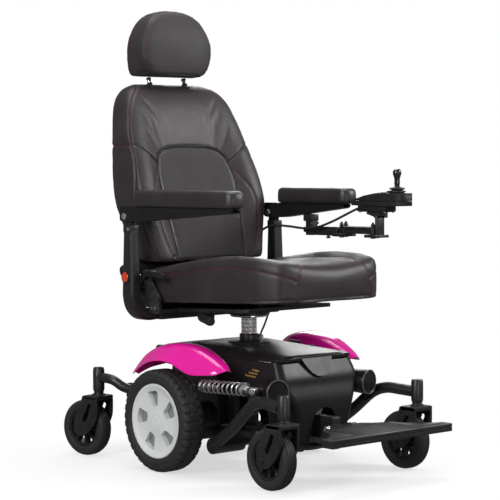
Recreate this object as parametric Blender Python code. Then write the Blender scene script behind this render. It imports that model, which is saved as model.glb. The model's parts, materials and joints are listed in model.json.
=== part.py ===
"""Mid-wheel-drive power wheelchair with a captain seat, as an assembly of separate pieces.

Every shape below is drawn in millimetres from the middle of the drive axle, with the
floor at z = 0, the front at -Y and the user's left at +X. place() turns a shape into a
Blender object in metres, with the chair's footprint centred on the world origin.
"""
import math

import bmesh
import bpy
from mathutils import Matrix, Vector

# ---------------------------------------------------------------- driving dimensions (mm)
GAP = 0.3                       # clearance between pieces that touch
DRIVE_RADIUS = 152.5            # 12 inch drive tyre
DRIVE_WIDTH = 76.0
DRIVE_TRACK = 292.0             # middle of the tyre from the centre plane
RIM_RADIUS = 111.0
CASTER_RADIUS = 87.0            # 7 inch caster
CASTER_WIDTH = 48.0
CASTER_TRACK = 268.0
CASTER_TRAIL = 50.0
CASTER_RIM = 58.0
FRONT_STEM_Y = -500.0
REAR_STEM_Y = 353.0
RAIL_X = 72.0
ARM_PIVOT = Vector((0, -161.0, 88.0))
SHOCK_REAR = Vector((216, -63.0, 256.0))
SHOCK_FRONT = Vector((225, -337.0, 265.0))
FOOTPLATE_FRONT = 667.0         # front edge, ahead of the axle
FOOTPLATE_HALF = 246.0
FOOTPLATE_HINGE = Vector((0, -452.0, 148.0))
REAR_REACH = 490.0              # back of the rear casters, behind the axle
PEDESTAL_Y = -53.0
SEAT_TURN_Z = 454.0             # plane on which the seat swivels
CUSHION_HALF = 231.0
BACK_HINGE = Vector((0, 150.0, 540.0))
BACK_TILT = math.radians(17)
HEADREST_POST_X = 71.0
HEADREST_FOOT = Vector((0, 339.0, 1176.0))
ARMREST_X = 292.0
ARMREST_Y = 150.0
ARMREST_PIVOT = Vector((0, 160.0, 754.0))
PAD_BOTTOM = 785.0
PAD_TOP = 834.0
PAD_HALF = 32.0
LINK_LENGTH = 135.0
LINK_HEIGHT = 22.0
LINK_OUTER = Vector((309, -160.0, 694.3))
LINK_OFFSET = Vector((-36, -18.0, 0))
STICK = Vector((291, -397.0, 817.0))
CASTER_TURN = {"rear_right": math.radians(11)}

MM = 0.001
AXLE_Y = (FOOTPLATE_FRONT - REAR_REACH) / 2
LEFT, RIGHT = 1, -1
SIDES = (("left", LEFT), ("right", RIGHT))


# ---------------------------------------------------------------- finishes
def finish(name, colour, roughness, metallic=0.0):
    """A Principled BSDF material, made once and shared by name."""
    if name in bpy.data.materials:
        return bpy.data.materials[name]
    made = bpy.data.materials.new(name)
    made.use_nodes = True
    shader = made.node_tree.nodes["Principled BSDF"]
    shader.inputs["Base Color"].default_value = (*colour, 1)
    shader.inputs["Roughness"].default_value = roughness
    shader.inputs["Metallic"].default_value = metallic
    return made


FINISHES = {
    "frame_black": ((0.012, 0.012, 0.013), 0.38, 0.0),
    "gloss_black": ((0.010, 0.010, 0.011), 0.16, 0.0),
    "moulded_black": ((0.022, 0.022, 0.024), 0.55, 0.0),
    "grey_plastic": ((0.045, 0.045, 0.048), 0.5, 0.0),
    "tyre_rubber": ((0.014, 0.014, 0.014), 0.8, 0.0),
    "wheel_cap": ((0.72, 0.74, 0.73), 0.35, 0.0),
    "magenta_gloss": ((0.84, 0.012, 0.36), 0.12, 0.0),
    "chrome": ((0.7, 0.7, 0.72), 0.15, 1.0),
    "vinyl": ((0.040, 0.037, 0.040), 0.42, 0.0),
    "arm_foam": ((0.025, 0.025, 0.027), 0.55, 0.0),
    "reflector": ((0.75, 0.07, 0.01), 0.2, 0.0),
    "cable_black": ((0.015, 0.015, 0.015), 0.5, 0.0),
    "battery_case": ((0.03, 0.03, 0.035), 0.5, 0.0),
}


# ---------------------------------------------------------------- shapes, as bmeshes in mm
def box(low, high, bevel=0.0):
    """A box between two corners, its edges rounded by bevel."""
    low, high = Vector(low), Vector(high)
    bm = bmesh.new()
    bmesh.ops.create_cube(bm, size=1)
    size = Vector((abs(high[i] - low[i]) for i in range(3)))
    bmesh.ops.scale(bm, vec=size, verts=bm.verts)
    bmesh.ops.translate(bm, vec=(low + high) / 2, verts=bm.verts)
    if bevel:
        bmesh.ops.bevel(bm, geom=bm.edges[:], offset=bevel, segments=1,
                        profile=0.5, affect="EDGES")
    return bm


def loft(rings):
    """A closed solid through rings of equal point count, with flat ends."""
    bm = bmesh.new()
    loops = [[bm.verts.new(point) for point in ring] for ring in rings]
    count = len(loops[0])
    for lower, upper in zip(loops, loops[1:]):
        for i in range(count):
            j = (i + 1) % count
            bm.faces.new((lower[i], lower[j], upper[j], upper[i]))
    bm.faces.new(list(reversed(loops[0])))
    bm.faces.new(loops[-1])
    bmesh.ops.recalc_face_normals(bm, faces=bm.faces)
    return bm


def prism(outline, start, end, axis="z"):
    """A flat outline extruded between two heights along an axis.

    Outline points are (x, y) for axis z, (y, z) for axis x and (x, z) for axis y.
    """
    def point(a, b, h):
        return {"z": (a, b, h), "x": (h, a, b), "y": (a, h, b)}[axis]
    return loft([[point(a, b, h) for a, b in outline] for h in (start, end)])


def turned(profile, centre, axis, segments, first=(0, 0, -1)):
    """A profile of (radius, distance along axis) spun once around; a profile that
    starts and ends off the axis is taken as a closed ring."""
    axis = Vector(axis).normalized()
    first = Vector((0, -1, 0)) if abs(axis.z) > 0.9 else Vector(first)
    first = (first - axis * first.dot(axis)).normalized()
    second = axis.cross(first)
    centre = Vector(centre)
    bm = bmesh.new()
    rows = []
    for radius, along in profile:
        base = centre + axis * along
        if radius < 1e-6:
            rows.append([bm.verts.new(base)] * segments)
            continue
        rows.append([bm.verts.new(base + radius * (first * math.cos(a) + second * math.sin(a)))
                     for a in (2 * math.pi * k / segments for k in range(segments))])
    ring = profile[0][0] > 1e-6
    pairs = list(zip(rows, rows[1:] + rows[:1])) if ring else list(zip(rows, rows[1:]))
    for one, other in pairs:
        for i in range(segments):
            j = (i + 1) % segments
            corners = []
            for vert in (one[i], one[j], other[j], other[i]):
                if vert not in corners:
                    corners.append(vert)
            bm.faces.new(corners)
    bmesh.ops.recalc_face_normals(bm, faces=bm.faces)
    return bm


def rod(start, end, radius, segments=16, end_radius=None):
    """A round bar between two points, tapering if end_radius differs."""
    start, end = Vector(start), Vector(end)
    last = radius if end_radius is None else end_radius
    length = (end - start).length
    return turned([(0, 0), (radius, 0), (last, length), (0, length)], start, end - start,
                  segments, first=(0.3, 0.2, -1))


def smooth(points, steps):
    """Points along a Catmull-Rom curve through the given ones."""
    points = [Vector(p) for p in points]
    ends = [2 * points[0] - points[1]] + points + [2 * points[-1] - points[-2]]
    path = []
    for a, b, c, d in zip(ends, ends[1:], ends[2:], ends[3:]):
        for k in range(steps):
            t = k / steps
            path.append(0.5 * (2 * b + (c - a) * t + (2 * a - 5 * b + 4 * c - d) * t * t
                               + (3 * b - a - 3 * c + d) * t ** 3))
    return path + [points[-1]]


def sweep(path, sections, side=(1, 0, 0)):
    """A section carried along a path; sections is one outline or one for each point."""
    path = [Vector(p) for p in path]
    if not isinstance(sections[0][0], (list, tuple)):
        sections = [sections] * len(path)
    side = Vector(side)
    rings = []
    for i, point in enumerate(path):
        ahead = (path[min(i + 1, len(path) - 1)] - path[max(i - 1, 0)]).normalized()
        across = (side - ahead * side.dot(ahead)).normalized()
        up = ahead.cross(across)
        rings.append([point + across * a + up * b for a, b in sections[i]])
        side = across
    return loft(rings)


def circle(radius, segments, squash=1.0):
    """A round outline, flattened in its second direction by squash."""
    return [(radius * math.cos(2 * math.pi * k / segments),
             squash * radius * math.sin(2 * math.pi * k / segments)) for k in range(segments)]


def rounded(half_a, half_b, corner, steps=2, centre=(0, 0)):
    """A rectangle outline with round corners."""
    outline = []
    for quarter, (sa, sb) in enumerate(((1, 1), (-1, 1), (-1, -1), (1, -1))):
        for k in range(steps + 1):
            angle = math.pi / 2 * (quarter + k / steps)
            outline.append((centre[0] + sa * (half_a - corner) + corner * math.cos(angle),
                            centre[1] + sb * (half_b - corner) + corner * math.sin(angle)))
    return outline


def mirrored(bm, side):
    """The bmesh as drawn for the left side, or its mirror image for the right."""
    if side == RIGHT:
        bmesh.ops.scale(bm, vec=(-1, 1, 1), verts=bm.verts)
        bmesh.ops.reverse_faces(bm, faces=bm.faces)
    return bm


def boolean(base, tools, operation):
    """base united with, cut by, or kept inside each tool in turn."""
    def holder(bm):
        mesh = bpy.data.meshes.new("shape")
        bm.to_mesh(mesh)
        bm.free()
        obj = bpy.data.objects.new("shape", mesh)
        bpy.context.scene.collection.objects.link(obj)
        return obj
    body = holder(base)
    others = [holder(tool) for tool in tools]
    for other in others:
        step = body.modifiers.new("step", "BOOLEAN")
        step.operation = operation
        step.solver = "EXACT"
        step.object = other
    result = bmesh.new()
    result.from_object(body, bpy.context.evaluated_depsgraph_get())
    for obj in [body] + others:
        mesh = obj.data
        bpy.data.objects.remove(obj, do_unlink=True)
        bpy.data.meshes.remove(mesh)
    bmesh.ops.dissolve_limit(result, angle_limit=math.radians(0.1), verts=result.verts,
                             edges=result.edges)
    return result


def joined(base, *tools):
    return boolean(base, tools, "UNION")


def cut(base, *tools):
    return boolean(base, tools, "DIFFERENCE")


def kept(base, *tools):
    return boolean(base, tools, "INTERSECT")


# ---------------------------------------------------------------- placing
PIVOTS = {}


def world(point):
    """A point of the drawing in metres, from the world origin."""
    return Vector((point[0] * MM, (point[1] + AXLE_Y) * MM, point[2] * MM))


def moving(name, pivot, parent=None):
    """An empty on a joint, which carries the pieces that turn or slide there."""
    empty = bpy.data.objects.new(f"{name}_axis", None)
    empty.empty_display_size = 0.03
    bpy.context.scene.collection.objects.link(empty)
    PIVOTS[name] = Vector(pivot)
    empty.parent = bpy.data.objects[f"{parent}_axis"] if parent else None
    empty.location = world(pivot) - (world(PIVOTS[parent]) if parent else Vector())
    return name


def place(name, bm, surface, body=None, flat_angle=32):
    """Makes the named object from a bmesh drawn in millimetres."""
    pivot = PIVOTS[body] if body else Vector((0, -AXLE_Y, 0))
    bmesh.ops.translate(bm, vec=-pivot, verts=bm.verts)
    bmesh.ops.scale(bm, vec=(MM, MM, MM), verts=bm.verts)
    bmesh.ops.recalc_face_normals(bm, faces=bm.faces)
    mesh = bpy.data.meshes.new(name)
    bm.to_mesh(mesh)
    bm.free()
    mesh.materials.append(finish(surface, *FINISHES[surface]))
    mesh.shade_smooth()
    mesh.set_sharp_from_angle(angle=math.radians(flat_angle))
    obj = bpy.data.objects.new(name, mesh)
    bpy.context.scene.collection.objects.link(obj)
    if body:
        obj.parent = bpy.data.objects[f"{body}_axis"]


def cable(name, route, diameter, steps, body=None):
    """A round lead along a smooth curve through the route's points."""
    curve = bpy.data.curves.new(name, "CURVE")
    curve.dimensions = "3D"
    curve.bevel_depth = diameter * MM / 2
    curve.bevel_resolution = 2
    curve.use_fill_caps = True
    points = smooth(route, steps)
    spline = curve.splines.new("POLY")
    spline.points.add(len(points) - 1)
    pivot = world(PIVOTS[body]) if body else Vector()
    for spot, point in zip(spline.points, points):
        spot.co = (*(world(point) - pivot), 1)
    curve.materials.append(finish("cable_black", *FINISHES["cable_black"]))
    obj = bpy.data.objects.new(name, curve)
    bpy.context.scene.collection.objects.link(obj)
    if body:
        obj.parent = bpy.data.objects[f"{body}_axis"]


# ---------------------------------------------------------------- base
def chassis_frame():
    """Welded box-section frame: two long rails, cross members, motor plates, pedestal
    foot, shock brackets and the footplate's hinge block."""
    rails = [box((s * RAIL_X - 11, -364, 76), (s * RAIL_X + 11, 286, 112), 3) for s in (1, -1)]
    crosses = [
        box((-80, -362, 80), (80, -338, 96), 3),
        box((-80, -95, 80), (80, -10, 108), 3),
        box((-206, 226, 190), (206, 262, 226), 3),
    ]
    uprights = [box((s * RAIL_X - 10, 230, 90), (s * RAIL_X + 10, 258, 200), 2) for s in (1, -1)]
    motor_plates = [box((s * RAIL_X, -27, 82), (s * (112 - GAP), 27, 110), 2) for s in (1, -1)]
    axles = [rod((s * RAIL_X, ARM_PIVOT.y, ARM_PIVOT.z), (s * (128 - GAP), ARM_PIVOT.y, ARM_PIVOT.z),
                 11, 12) for s in (1, -1)]
    towers = [box((s * RAIL_X - 9, -84, 100), (s * RAIL_X + 9, -44, 268), 2) for s in (1, -1)]
    shock_pins = [rod((s * RAIL_X, SHOCK_REAR.y, SHOCK_REAR.z), (s * 226, SHOCK_REAR.y, SHOCK_REAR.z),
                      9, 10) for s in (1, -1)]
    shock_stubs = [rod((s * 217, SHOCK_REAR.y, SHOCK_REAR.z), (s * 217, SHOCK_REAR.y - 27, SHOCK_REAR.z + 1),
                       7, 10) for s in (1, -1)]
    hinge = [
        box((-17, -436, 84), (17, -340, 178), 4),
        rod((-46, FOOTPLATE_HINGE.y, FOOTPLATE_HINGE.z), (46, FOOTPLATE_HINGE.y, FOOTPLATE_HINGE.z),
            7, 12),
        box((-17, -460, 140), (17, -430, 156), 3),
    ]
    return joined(rails[0], rails[1], *crosses, *uprights, *motor_plates, *axles, *towers,
                  *shock_pins, *shock_stubs, *hinge)


def battery_box():
    """Two sealed batteries in their strapped tray, one behind the other."""
    return box((-83, 0, 112.5), (83, 222, 288), 5)


def gearmotor(side):
    """Inline gearmotor: finned motor barrel inboard, gearbox, and the output shaft."""
    profile = [(0, 112), (38, 112), (42, 118), (42, 196), (47, 200), (47, 232), (30, 238),
               (13, 238), (13, 271.5), (0, 271.5)]
    barrel = turned(profile, (0, 0, DRIVE_RADIUS), (1, 0, 0), 20)
    saddle = box((112, -24, 84), (158, 24, 150), 2)
    return mirrored(joined(barrel, saddle), side)


def hood_ring(z, half, front, rear, corner, tilt=0.0):
    """One level of the shroud's plan, a rounded rectangle whose rear is lifted by tilt."""
    ring = rounded(half, (rear - front) / 2, corner, 3, (0, (rear + front) / 2))
    return [(x, y, z + tilt * (y - front)) for x, y in ring]


def shroud_body():
    """Gloss body shell: side skirts, sloping front apron with an arched opening at the
    foot, and two round-faced pods at its front corners."""
    skirt = loft([hood_ring(252, 158, -372, 240, 26, 0.09), hood_ring(290, 158, -366, 238, 26, 0.04),
                  hood_ring(338, 150, -343, 226, 24)])
    skirt_hollow = loft([hood_ring(240, 154, -368, 236, 24, 0.09),
                         hood_ring(290, 154, -362, 234, 24, 0.04),
                         hood_ring(352, 146, -338, 222, 22)])
    apron = loft([hood_ring(98, 92, -374, -250, 20), hood_ring(140, 104, -384, -250, 24),
                  hood_ring(215, 128, -386, -250, 26), hood_ring(262, 151, -373, -250, 26),
                  hood_ring(300, 151, -362, -250, 24)])
    apron_hollow = loft([hood_ring(90, 87, -369, -220, 18), hood_ring(140, 99, -379, -220, 22),
                         hood_ring(215, 123, -381, -220, 24), hood_ring(262, 147, -368, -220, 24),
                         hood_ring(312, 147, -355, -220, 22)])
    slant = math.radians(12)
    pods = []
    for s in (1, -1):
        face = Vector((s * 184, -386, 260))
        back = Vector((-s * math.sin(slant), math.cos(slant), 0.02))
        pods.append(turned([(0, 0), (32, 0), (36, 3), (37, 8), (34, 60), (22, 92), (0, 92)],
                           face, back, 20))
    arch = prism([(52 * math.cos(a), 150 + 52 * math.sin(a))
                  for a in (math.pi * k / 8 for k in range(9))] + [(-58, 80), (58, 80)],
                 -400, -330, "y")
    shell = joined(skirt, apron)
    shell = cut(shell, skirt_hollow, apron_hollow, arch)
    return joined(shell, *pods)


def lid_section(y, half, foot, top):
    """Cross-section of the lid: low edge, sloping side and nearly flat top."""
    right = [(0, foot), (half - 3, foot), (half, foot + 4), (half - 4, foot + 10),
             (half - 34, top - 2), (half - 62, top), (0, top + 1)]
    return [(x, y, z) for x, z in right] + [(-x, y, z) for x, z in reversed(right[1:-1])]


def shroud_lid():
    """Lift-off lid, with a lobe that hangs over the apron and a hole for the pedestal."""
    foot = 338 + GAP
    deck = loft([lid_section(-350, 146, foot, 350), lid_section(-343, 151, foot, 354),
                 lid_section(-250, 153, foot, 360), lid_section(-110, 154, foot, 366),
                 lid_section(0, 154, foot, 371), lid_section(70, 154, foot, 371),
                 lid_section(90, 152, foot, 362), lid_section(215, 146, foot, 352),
                 lid_section(228, 138, foot, 347)])
    lobe = [(58, 345), (50, 325), (30, 303), (0, 293)]
    outline = lobe + [(-x, z) for x, z in reversed(lobe[:-1])]
    tongue = loft([[(x, -345 + (z - 345) * 0.42 - GAP, z) for x, z in outline],
                   [(x, -351 + (z - 345) * 0.42, z) for x, z in outline]])
    hole = rod((0, PEDESTAL_Y, 320), (0, PEDESTAL_Y, 400), 33, 24)
    return cut(joined(deck, tongue), hole)


def fender(side):
    """Domed wheel cover: inner wall, crown that rises to the front, crease and flared lip."""
    stations = [
        # angle round the axle, then (distance outboard, radius) of the inner edge, inner
        # shoulder, crown, crease and lip
        (45, (286, 182), (291, 187), (297, 190), (303, 188), (306, 184)),
        (56, (262, 180), (275, 194), (289, 200), (303, 188), (310, 180)),
        (66, (234, 176), (255, 200), (280, 209), (304, 192), (316, 178)),
        (80, (202, 176), (230, 209), (270, 219), (306, 200), (320, 180)),
        (94, (192, 182), (222, 219), (265, 229), (307, 209), (323, 185)),
        (108, (190, 194), (220, 234), (264, 244), (307, 221), (323, 193)),
        (120, (190, 208), (220, 249), (263, 260), (305, 232), (322, 198)),
        (130, (193, 224), (222, 263), (262, 274), (303, 247), (320, 206)),
        (137, (200, 242), (226, 276), (261, 286), (298, 262), (316, 222)),
        (143, (216, 268), (236, 290), (260, 297), (290, 280), (306, 254)),
        (147, (238, 290), (247, 299), (258, 304), (276, 297), (290, 284)),
    ]
    rings = []
    for angle, *spots in stations:
        outer = smooth([Vector((x, r, 0)) for x, r in spots], 2)
        inner = [Vector((p.x, p.y - 4, 0)) for p in reversed(outer)]
        turn = math.radians(angle)
        rings.append([(p.x, p.y * math.cos(turn), DRIVE_RADIUS + p.y * math.sin(turn))
                      for p in outer + inner])
    shell = loft(rings)
    web = box((157, -68, 310), (201, -22, 315))
    riser = box((196, -68, 310), (201, -22, 360))
    return mirrored(joined(shell, web, riser), side)


def rear_arm(side):
    """Bent tube from the frame's end plate out to the rear caster's barrel."""
    path = smooth([(224, 244, 215), (242, 264, 224), (258, 292, 246), (CASTER_TRACK, 338, 246)], 3)
    tube = sweep(path, circle(15, 10))
    barrel = turned([(0, 203), (17, 203), (18, 206), (18, 272), (15, 278), (0, 279)],
                    (CASTER_TRACK, REAR_STEM_Y, 0), (0, 0, 1), 16)
    plate = box((206.5, 222, 186), (224, 268, 234), 2)
    bolt = rod((216, 257, 197), (230, 257, 197), 9, 8)
    return mirrored(joined(tube, barrel, plate, bolt), side)


def pedestal_socket():
    """Fixed outer tube of the height pedestal, with its clamp collar and lock bolt."""
    tube = turned([(0, 108.5), (42, 108.5), (42, 118), (32, 126), (32, 374), (36, 376), (36, 394),
                   (25 + GAP, 396), (25 + GAP, 160), (0, 160)], (0, PEDESTAL_Y, 0), (0, 0, 1), 18)
    clamp = box((33, PEDESTAL_Y - 12, 377), (52, PEDESTAL_Y + 12, 391), 2)
    bolt = rod((44, PEDESTAL_Y - 22, 384), (44, PEDESTAL_Y + 20, 384), 5, 8)
    return joined(tube, clamp, bolt)


def base():
    place("chassis_frame", chassis_frame(), "frame_black")
    place("battery_box", battery_box(), "battery_case")
    place("shroud_body", shroud_body(), "gloss_black")
    place("shroud_lid", shroud_lid(), "gloss_black")
    place("pedestal_socket", pedestal_socket(), "frame_black")
    for label, side in SIDES:
        place(f"gearmotor_{label}", gearmotor(side), "moulded_black")
        place(f"fender_{label}", fender(side), "magenta_gloss")
        place(f"rear_arm_{label}", rear_arm(side), "frame_black")


# ---------------------------------------------------------------- wheels
def drive_tyre(side):
    """Wide tyre with square shoulders."""
    half = DRIVE_WIDTH / 2
    low = RIM_RADIUS + GAP
    top = DRIVE_RADIUS
    profile = [(low, -half + 5), (low + 12, -half), (top - 12, -half), (top, -half + 9),
               (top, half - 9), (top - 12, half), (low + 12, half), (low, half - 5)]
    return turned(profile, (side * DRIVE_TRACK, 0, DRIVE_RADIUS), (1, 0, 0), 32)


def drive_hub(side):
    """Dished wheel cap and rim with five windows."""
    rim = RIM_RADIUS
    profile = [(0, 33), (24, 33), (30, 29), (90, 27), (rim, 33), (rim, -31), (rim - 7, -31),
               (rim - 7, 15), (28, 15), (26, -19), (0, -19)]
    bm = turned(profile, (0, 0, 0), (1, 0, 0), 32)
    window = [(-10, 46), (10, 46), (25, 84), (-17, 84)]
    cutters = []
    for k in range(5):
        turn = math.radians(72 * k - 9)
        cutters.append(prism([(a * math.cos(turn) - b * math.sin(turn),
                               a * math.sin(turn) + b * math.cos(turn)) for a, b in window],
                             5, 40, "x"))
    bm = cut(bm, *cutters)
    bm = mirrored(bm, side)
    bmesh.ops.translate(bm, vec=(side * DRIVE_TRACK, 0, DRIVE_RADIUS), verts=bm.verts)
    return bm


def caster_fork():
    """Moulded fork about its stem axis: square crown, two slotted legs and axle studs."""
    crown = box((-38, -26, 177), (38, 34, 192), 3)
    stub = rod((0, 0, 190), (0, 0, 203 - GAP), 14, 16)
    foot = [(CASTER_TRAIL + 23 * math.cos(a), CASTER_RADIUS + 23 * math.sin(a))
            for a in (math.radians(-120 + 24 * k) for k in range(6))]
    outline = [(-25, 190), (-25, 146), (-18, 118), (0, 92), (24, 70)] + foot
    outline += [(CASTER_TRAIL + 22, 118), (36, 190)]
    slot = [(7 + 8 * math.cos(a), 158 + 8 * math.sin(a))
            for a in (math.radians(5 + 45 * k) for k in range(5))]
    slot += [(29 + 8 * math.cos(a), 116 + 8 * math.sin(a))
             for a in (math.radians(205 + 45 * k) for k in range(5))]
    legs = [cut(prism(outline, s * 30, s * 38, "x"), prism(slot, s * 26, s * 42, "x"))
            for s in (1, -1)]
    studs = [rod((s * (CASTER_WIDTH / 2 + GAP), CASTER_TRAIL, CASTER_RADIUS),
                 (s * 43, CASTER_TRAIL, CASTER_RADIUS), 9, 8) for s in (1, -1)]
    return joined(crown, stub, *legs, *studs)


def caster_tyre():
    """Ribbed solid tyre about its own axle."""
    half = CASTER_WIDTH / 2
    profile = [(CASTER_RIM + GAP, -half), (CASTER_RADIUS - 8, -half), (CASTER_RADIUS, -half + 8),
               (CASTER_RADIUS, half - 8), (CASTER_RADIUS - 8, half), (CASTER_RIM + GAP, half)]
    return turned(profile, (0, CASTER_TRAIL, CASTER_RADIUS), (1, 0, 0), 20)


def caster_hub():
    """Hub with eight spokes between a rim and a centre boss."""
    rim = CASTER_RIM
    profile = [(0, 23.5), (18, 23.5), (18, 11), (51, 11), (51, 20), (rim, 20), (rim, -20),
               (51, -20), (51, -11), (18, -11), (18, -23.5), (0, -23.5)]
    bm = turned(profile, (0, 0, 0), (1, 0, 0), 20)
    cutters = []
    window = [(-5, 24), (5, 24), (13, 46), (-13, 46)]
    for k in range(8):
        turn = 2 * math.pi * (k + 0.5) / 8
        cutters.append(prism([(a * math.cos(turn) - b * math.sin(turn),
                               a * math.sin(turn) + b * math.cos(turn)) for a, b in window],
                             -30, 30, "x"))
    bm = cut(bm, *cutters)
    bmesh.ops.translate(bm, vec=(0, CASTER_TRAIL, CASTER_RADIUS), verts=bm.verts)
    return bm


def casters():
    for end, stem_y, carrier in (("front", FRONT_STEM_Y, "front_arm"), ("rear", REAR_STEM_Y, None)):
        for label, side in SIDES:
            name = f"{end}_{label}"
            stem = Vector((side * CASTER_TRACK, stem_y, 0))
            turn = Matrix.Rotation(CASTER_TURN.get(name, 0), 3, "Z")
            swivel = moving(f"caster_swivel_{name}", stem,
                            f"{carrier}_{label}" if carrier else None)
            centre = stem + turn @ Vector((0, CASTER_TRAIL, CASTER_RADIUS))
            wheel = moving(f"caster_wheel_{name}", centre, swivel)
            pieces = (("fork", caster_fork(), "moulded_black", swivel),
                      ("tyre", caster_tyre(), "tyre_rubber", wheel),
                      ("hub", caster_hub(), "grey_plastic", wheel))
            for piece, bm, surface, body in pieces:
                bmesh.ops.rotate(bm, cent=(0, 0, 0), matrix=turn, verts=bm.verts)
                bmesh.ops.translate(bm, vec=stem, verts=bm.verts)
                place(f"caster_{piece}_{name}", bm, surface, body)


def drive_wheels():
    for label, side in SIDES:
        body = moving(f"drive_wheel_{label}", (side * DRIVE_TRACK, 0, DRIVE_RADIUS))
        place(f"drive_tyre_{label}", drive_tyre(side), "tyre_rubber", body)
        place(f"drive_hub_{label}", drive_hub(side), "wheel_cap", body)


# ---------------------------------------------------------------- front suspension
def front_arm(side):
    """Swing arm: pivot barrel across the frame, bent tube up to the caster barrel, and the
    lever plate that presses on the coil spring."""
    barrel = rod((128, ARM_PIVOT.y, ARM_PIVOT.z), (244, ARM_PIVOT.y, ARM_PIVOT.z), 24, 20)
    path = smooth([(230, -168, 96), (236, -262, 160), (244, -336, 219), (252, -388, 238),
                   (260, -440, 237), (CASTER_TRACK, -488, 234)], 2)
    tube = sweep(path, circle(17, 10))
    stem = turned([(0, 203), (17, 203), (18, 206), (18, 264), (15, 270), (0, 271)],
                  (CASTER_TRACK, FRONT_STEM_Y, 0), (0, 0, 1), 16)
    plate = prism([(-312, 190), (-352, 208), (-349, 262), (-343, 277), (-331, 277), (-325, 262)],
                  227.5, 237, "x")
    eye = rod((216, SHOCK_FRONT.y, SHOCK_FRONT.z), (240, SHOCK_FRONT.y, SHOCK_FRONT.z), 10, 12)
    stub = rod((222, SHOCK_FRONT.y, SHOCK_FRONT.z), (221, SHOCK_FRONT.y + 44, SHOCK_FRONT.z - 1.4),
               6, 12)
    seat_disc = rod((218, SHOCK_FRONT.y + 43, SHOCK_FRONT.z - 1.4),
                    (218, SHOCK_FRONT.y + 48, SHOCK_FRONT.z - 1.5), 19, 14)
    cap = rod((238, ARM_PIVOT.y, ARM_PIVOT.z), (249, ARM_PIVOT.y, ARM_PIVOT.z), 10, 8)
    return mirrored(joined(barrel, tube, stem, plate, eye, stub, seat_disc, cap), side)


def coil_spring(side):
    """Compression coil held between the frame's pin and the swing arm's lever."""
    start = Vector((217, SHOCK_REAR.y - 31, SHOCK_REAR.z + 1))
    end = Vector((218, SHOCK_FRONT.y + 53, SHOCK_FRONT.z - 1.7))
    along = (end - start).normalized()
    across = Vector((1, 0, 0))
    across = (across - along * across.dot(along)).normalized()
    up = along.cross(across)
    turns, steps, radius, wire = 7, 8, 18.0, 2.6
    path = []
    for k in range(turns * steps + 1):
        angle = 2 * math.pi * k / steps
        spot = start + (end - start) * (k / (turns * steps))
        path.append(spot + radius * (across * math.cos(angle) + up * math.sin(angle)))
    return mirrored(sweep(path, circle(wire, 4), side=along), side)


def suspension():
    for label, side in SIDES:
        body = moving(f"front_arm_{label}", (side * ARM_PIVOT.x, ARM_PIVOT.y, ARM_PIVOT.z))
        place(f"front_arm_{label}", front_arm(side), "frame_black", body)
        place(f"suspension_spring_{label}", coil_spring(side), "chrome")


# ---------------------------------------------------------------- footplate
def caster_clearance(reach, first, last):
    """Points on an arc round the left front caster's stem, ahead of it and inboard."""
    angles = [math.radians(first + (last - first) * k / 4) for k in range(5)]
    return [(CASTER_TRACK - reach * math.cos(a), FRONT_STEM_Y - reach * math.sin(a))
            for a in angles]


def footplate():
    """Ribbed tray with a hollow underside, its neck forked round the hinge block and its
    rear corners cut back so that the casters can turn."""
    half, front, back = FOOTPLATE_HALF, -FOOTPLATE_FRONT, -516
    corner = 14
    edge = [(half, -631), (half, front + corner), (half - corner * 0.3, front + corner * 0.3),
            (half - corner, front)]
    outline = [(62, -470), (80, -492)] + caster_clearance(128, 10, 78) + edge
    outline = outline + [(-x, y) for x, y in reversed(outline)]
    plate = prism(outline, 138, 160)
    recess = [(128, back - 14)] + caster_clearance(135, 14, 76)
    recess += [(half - 7, -640), (half - 7, front + 12)]
    hollow = prism(recess + [(-x, y) for x, y in reversed(recess)], 130, 153)
    ears = [box((s * 22, FOOTPLATE_HINGE.y - 24, 138), (s * 44, FOOTPLATE_HINGE.y + 11, 160), 3)
            for s in (1, -1)]
    pin = rod((-60, FOOTPLATE_HINGE.y, FOOTPLATE_HINGE.z), (60, FOOTPLATE_HINGE.y, FOOTPLATE_HINGE.z),
              7 + GAP, 12)
    bumper = box((-138, -590, 120), (-98, -550, 156), 3)
    return cut(joined(cut(plate, hollow), *ears, bumper), pin)


# ---------------------------------------------------------------- seat
def seat_post():
    """Sliding pedestal post with its rows of height holes and the top flange."""
    bm = turned([(0, 165), (25, 165), (25, 444), (30, 446), (54, 447), (56, 450), (56, SEAT_TURN_Z),
                 (0, SEAT_TURN_Z)], (0, PEDESTAL_Y, 0), (0, 0, 1), 18)
    holes = []
    for z in (406, 424):
        holes.append(rod((-40, PEDESTAL_Y, z), (40, PEDESTAL_Y, z), 3.5, 6))
        holes.append(rod((0, PEDESTAL_Y - 40, z), (0, PEDESTAL_Y + 40, z), 3.5, 6))
    return cut(bm, *holes)


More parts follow.
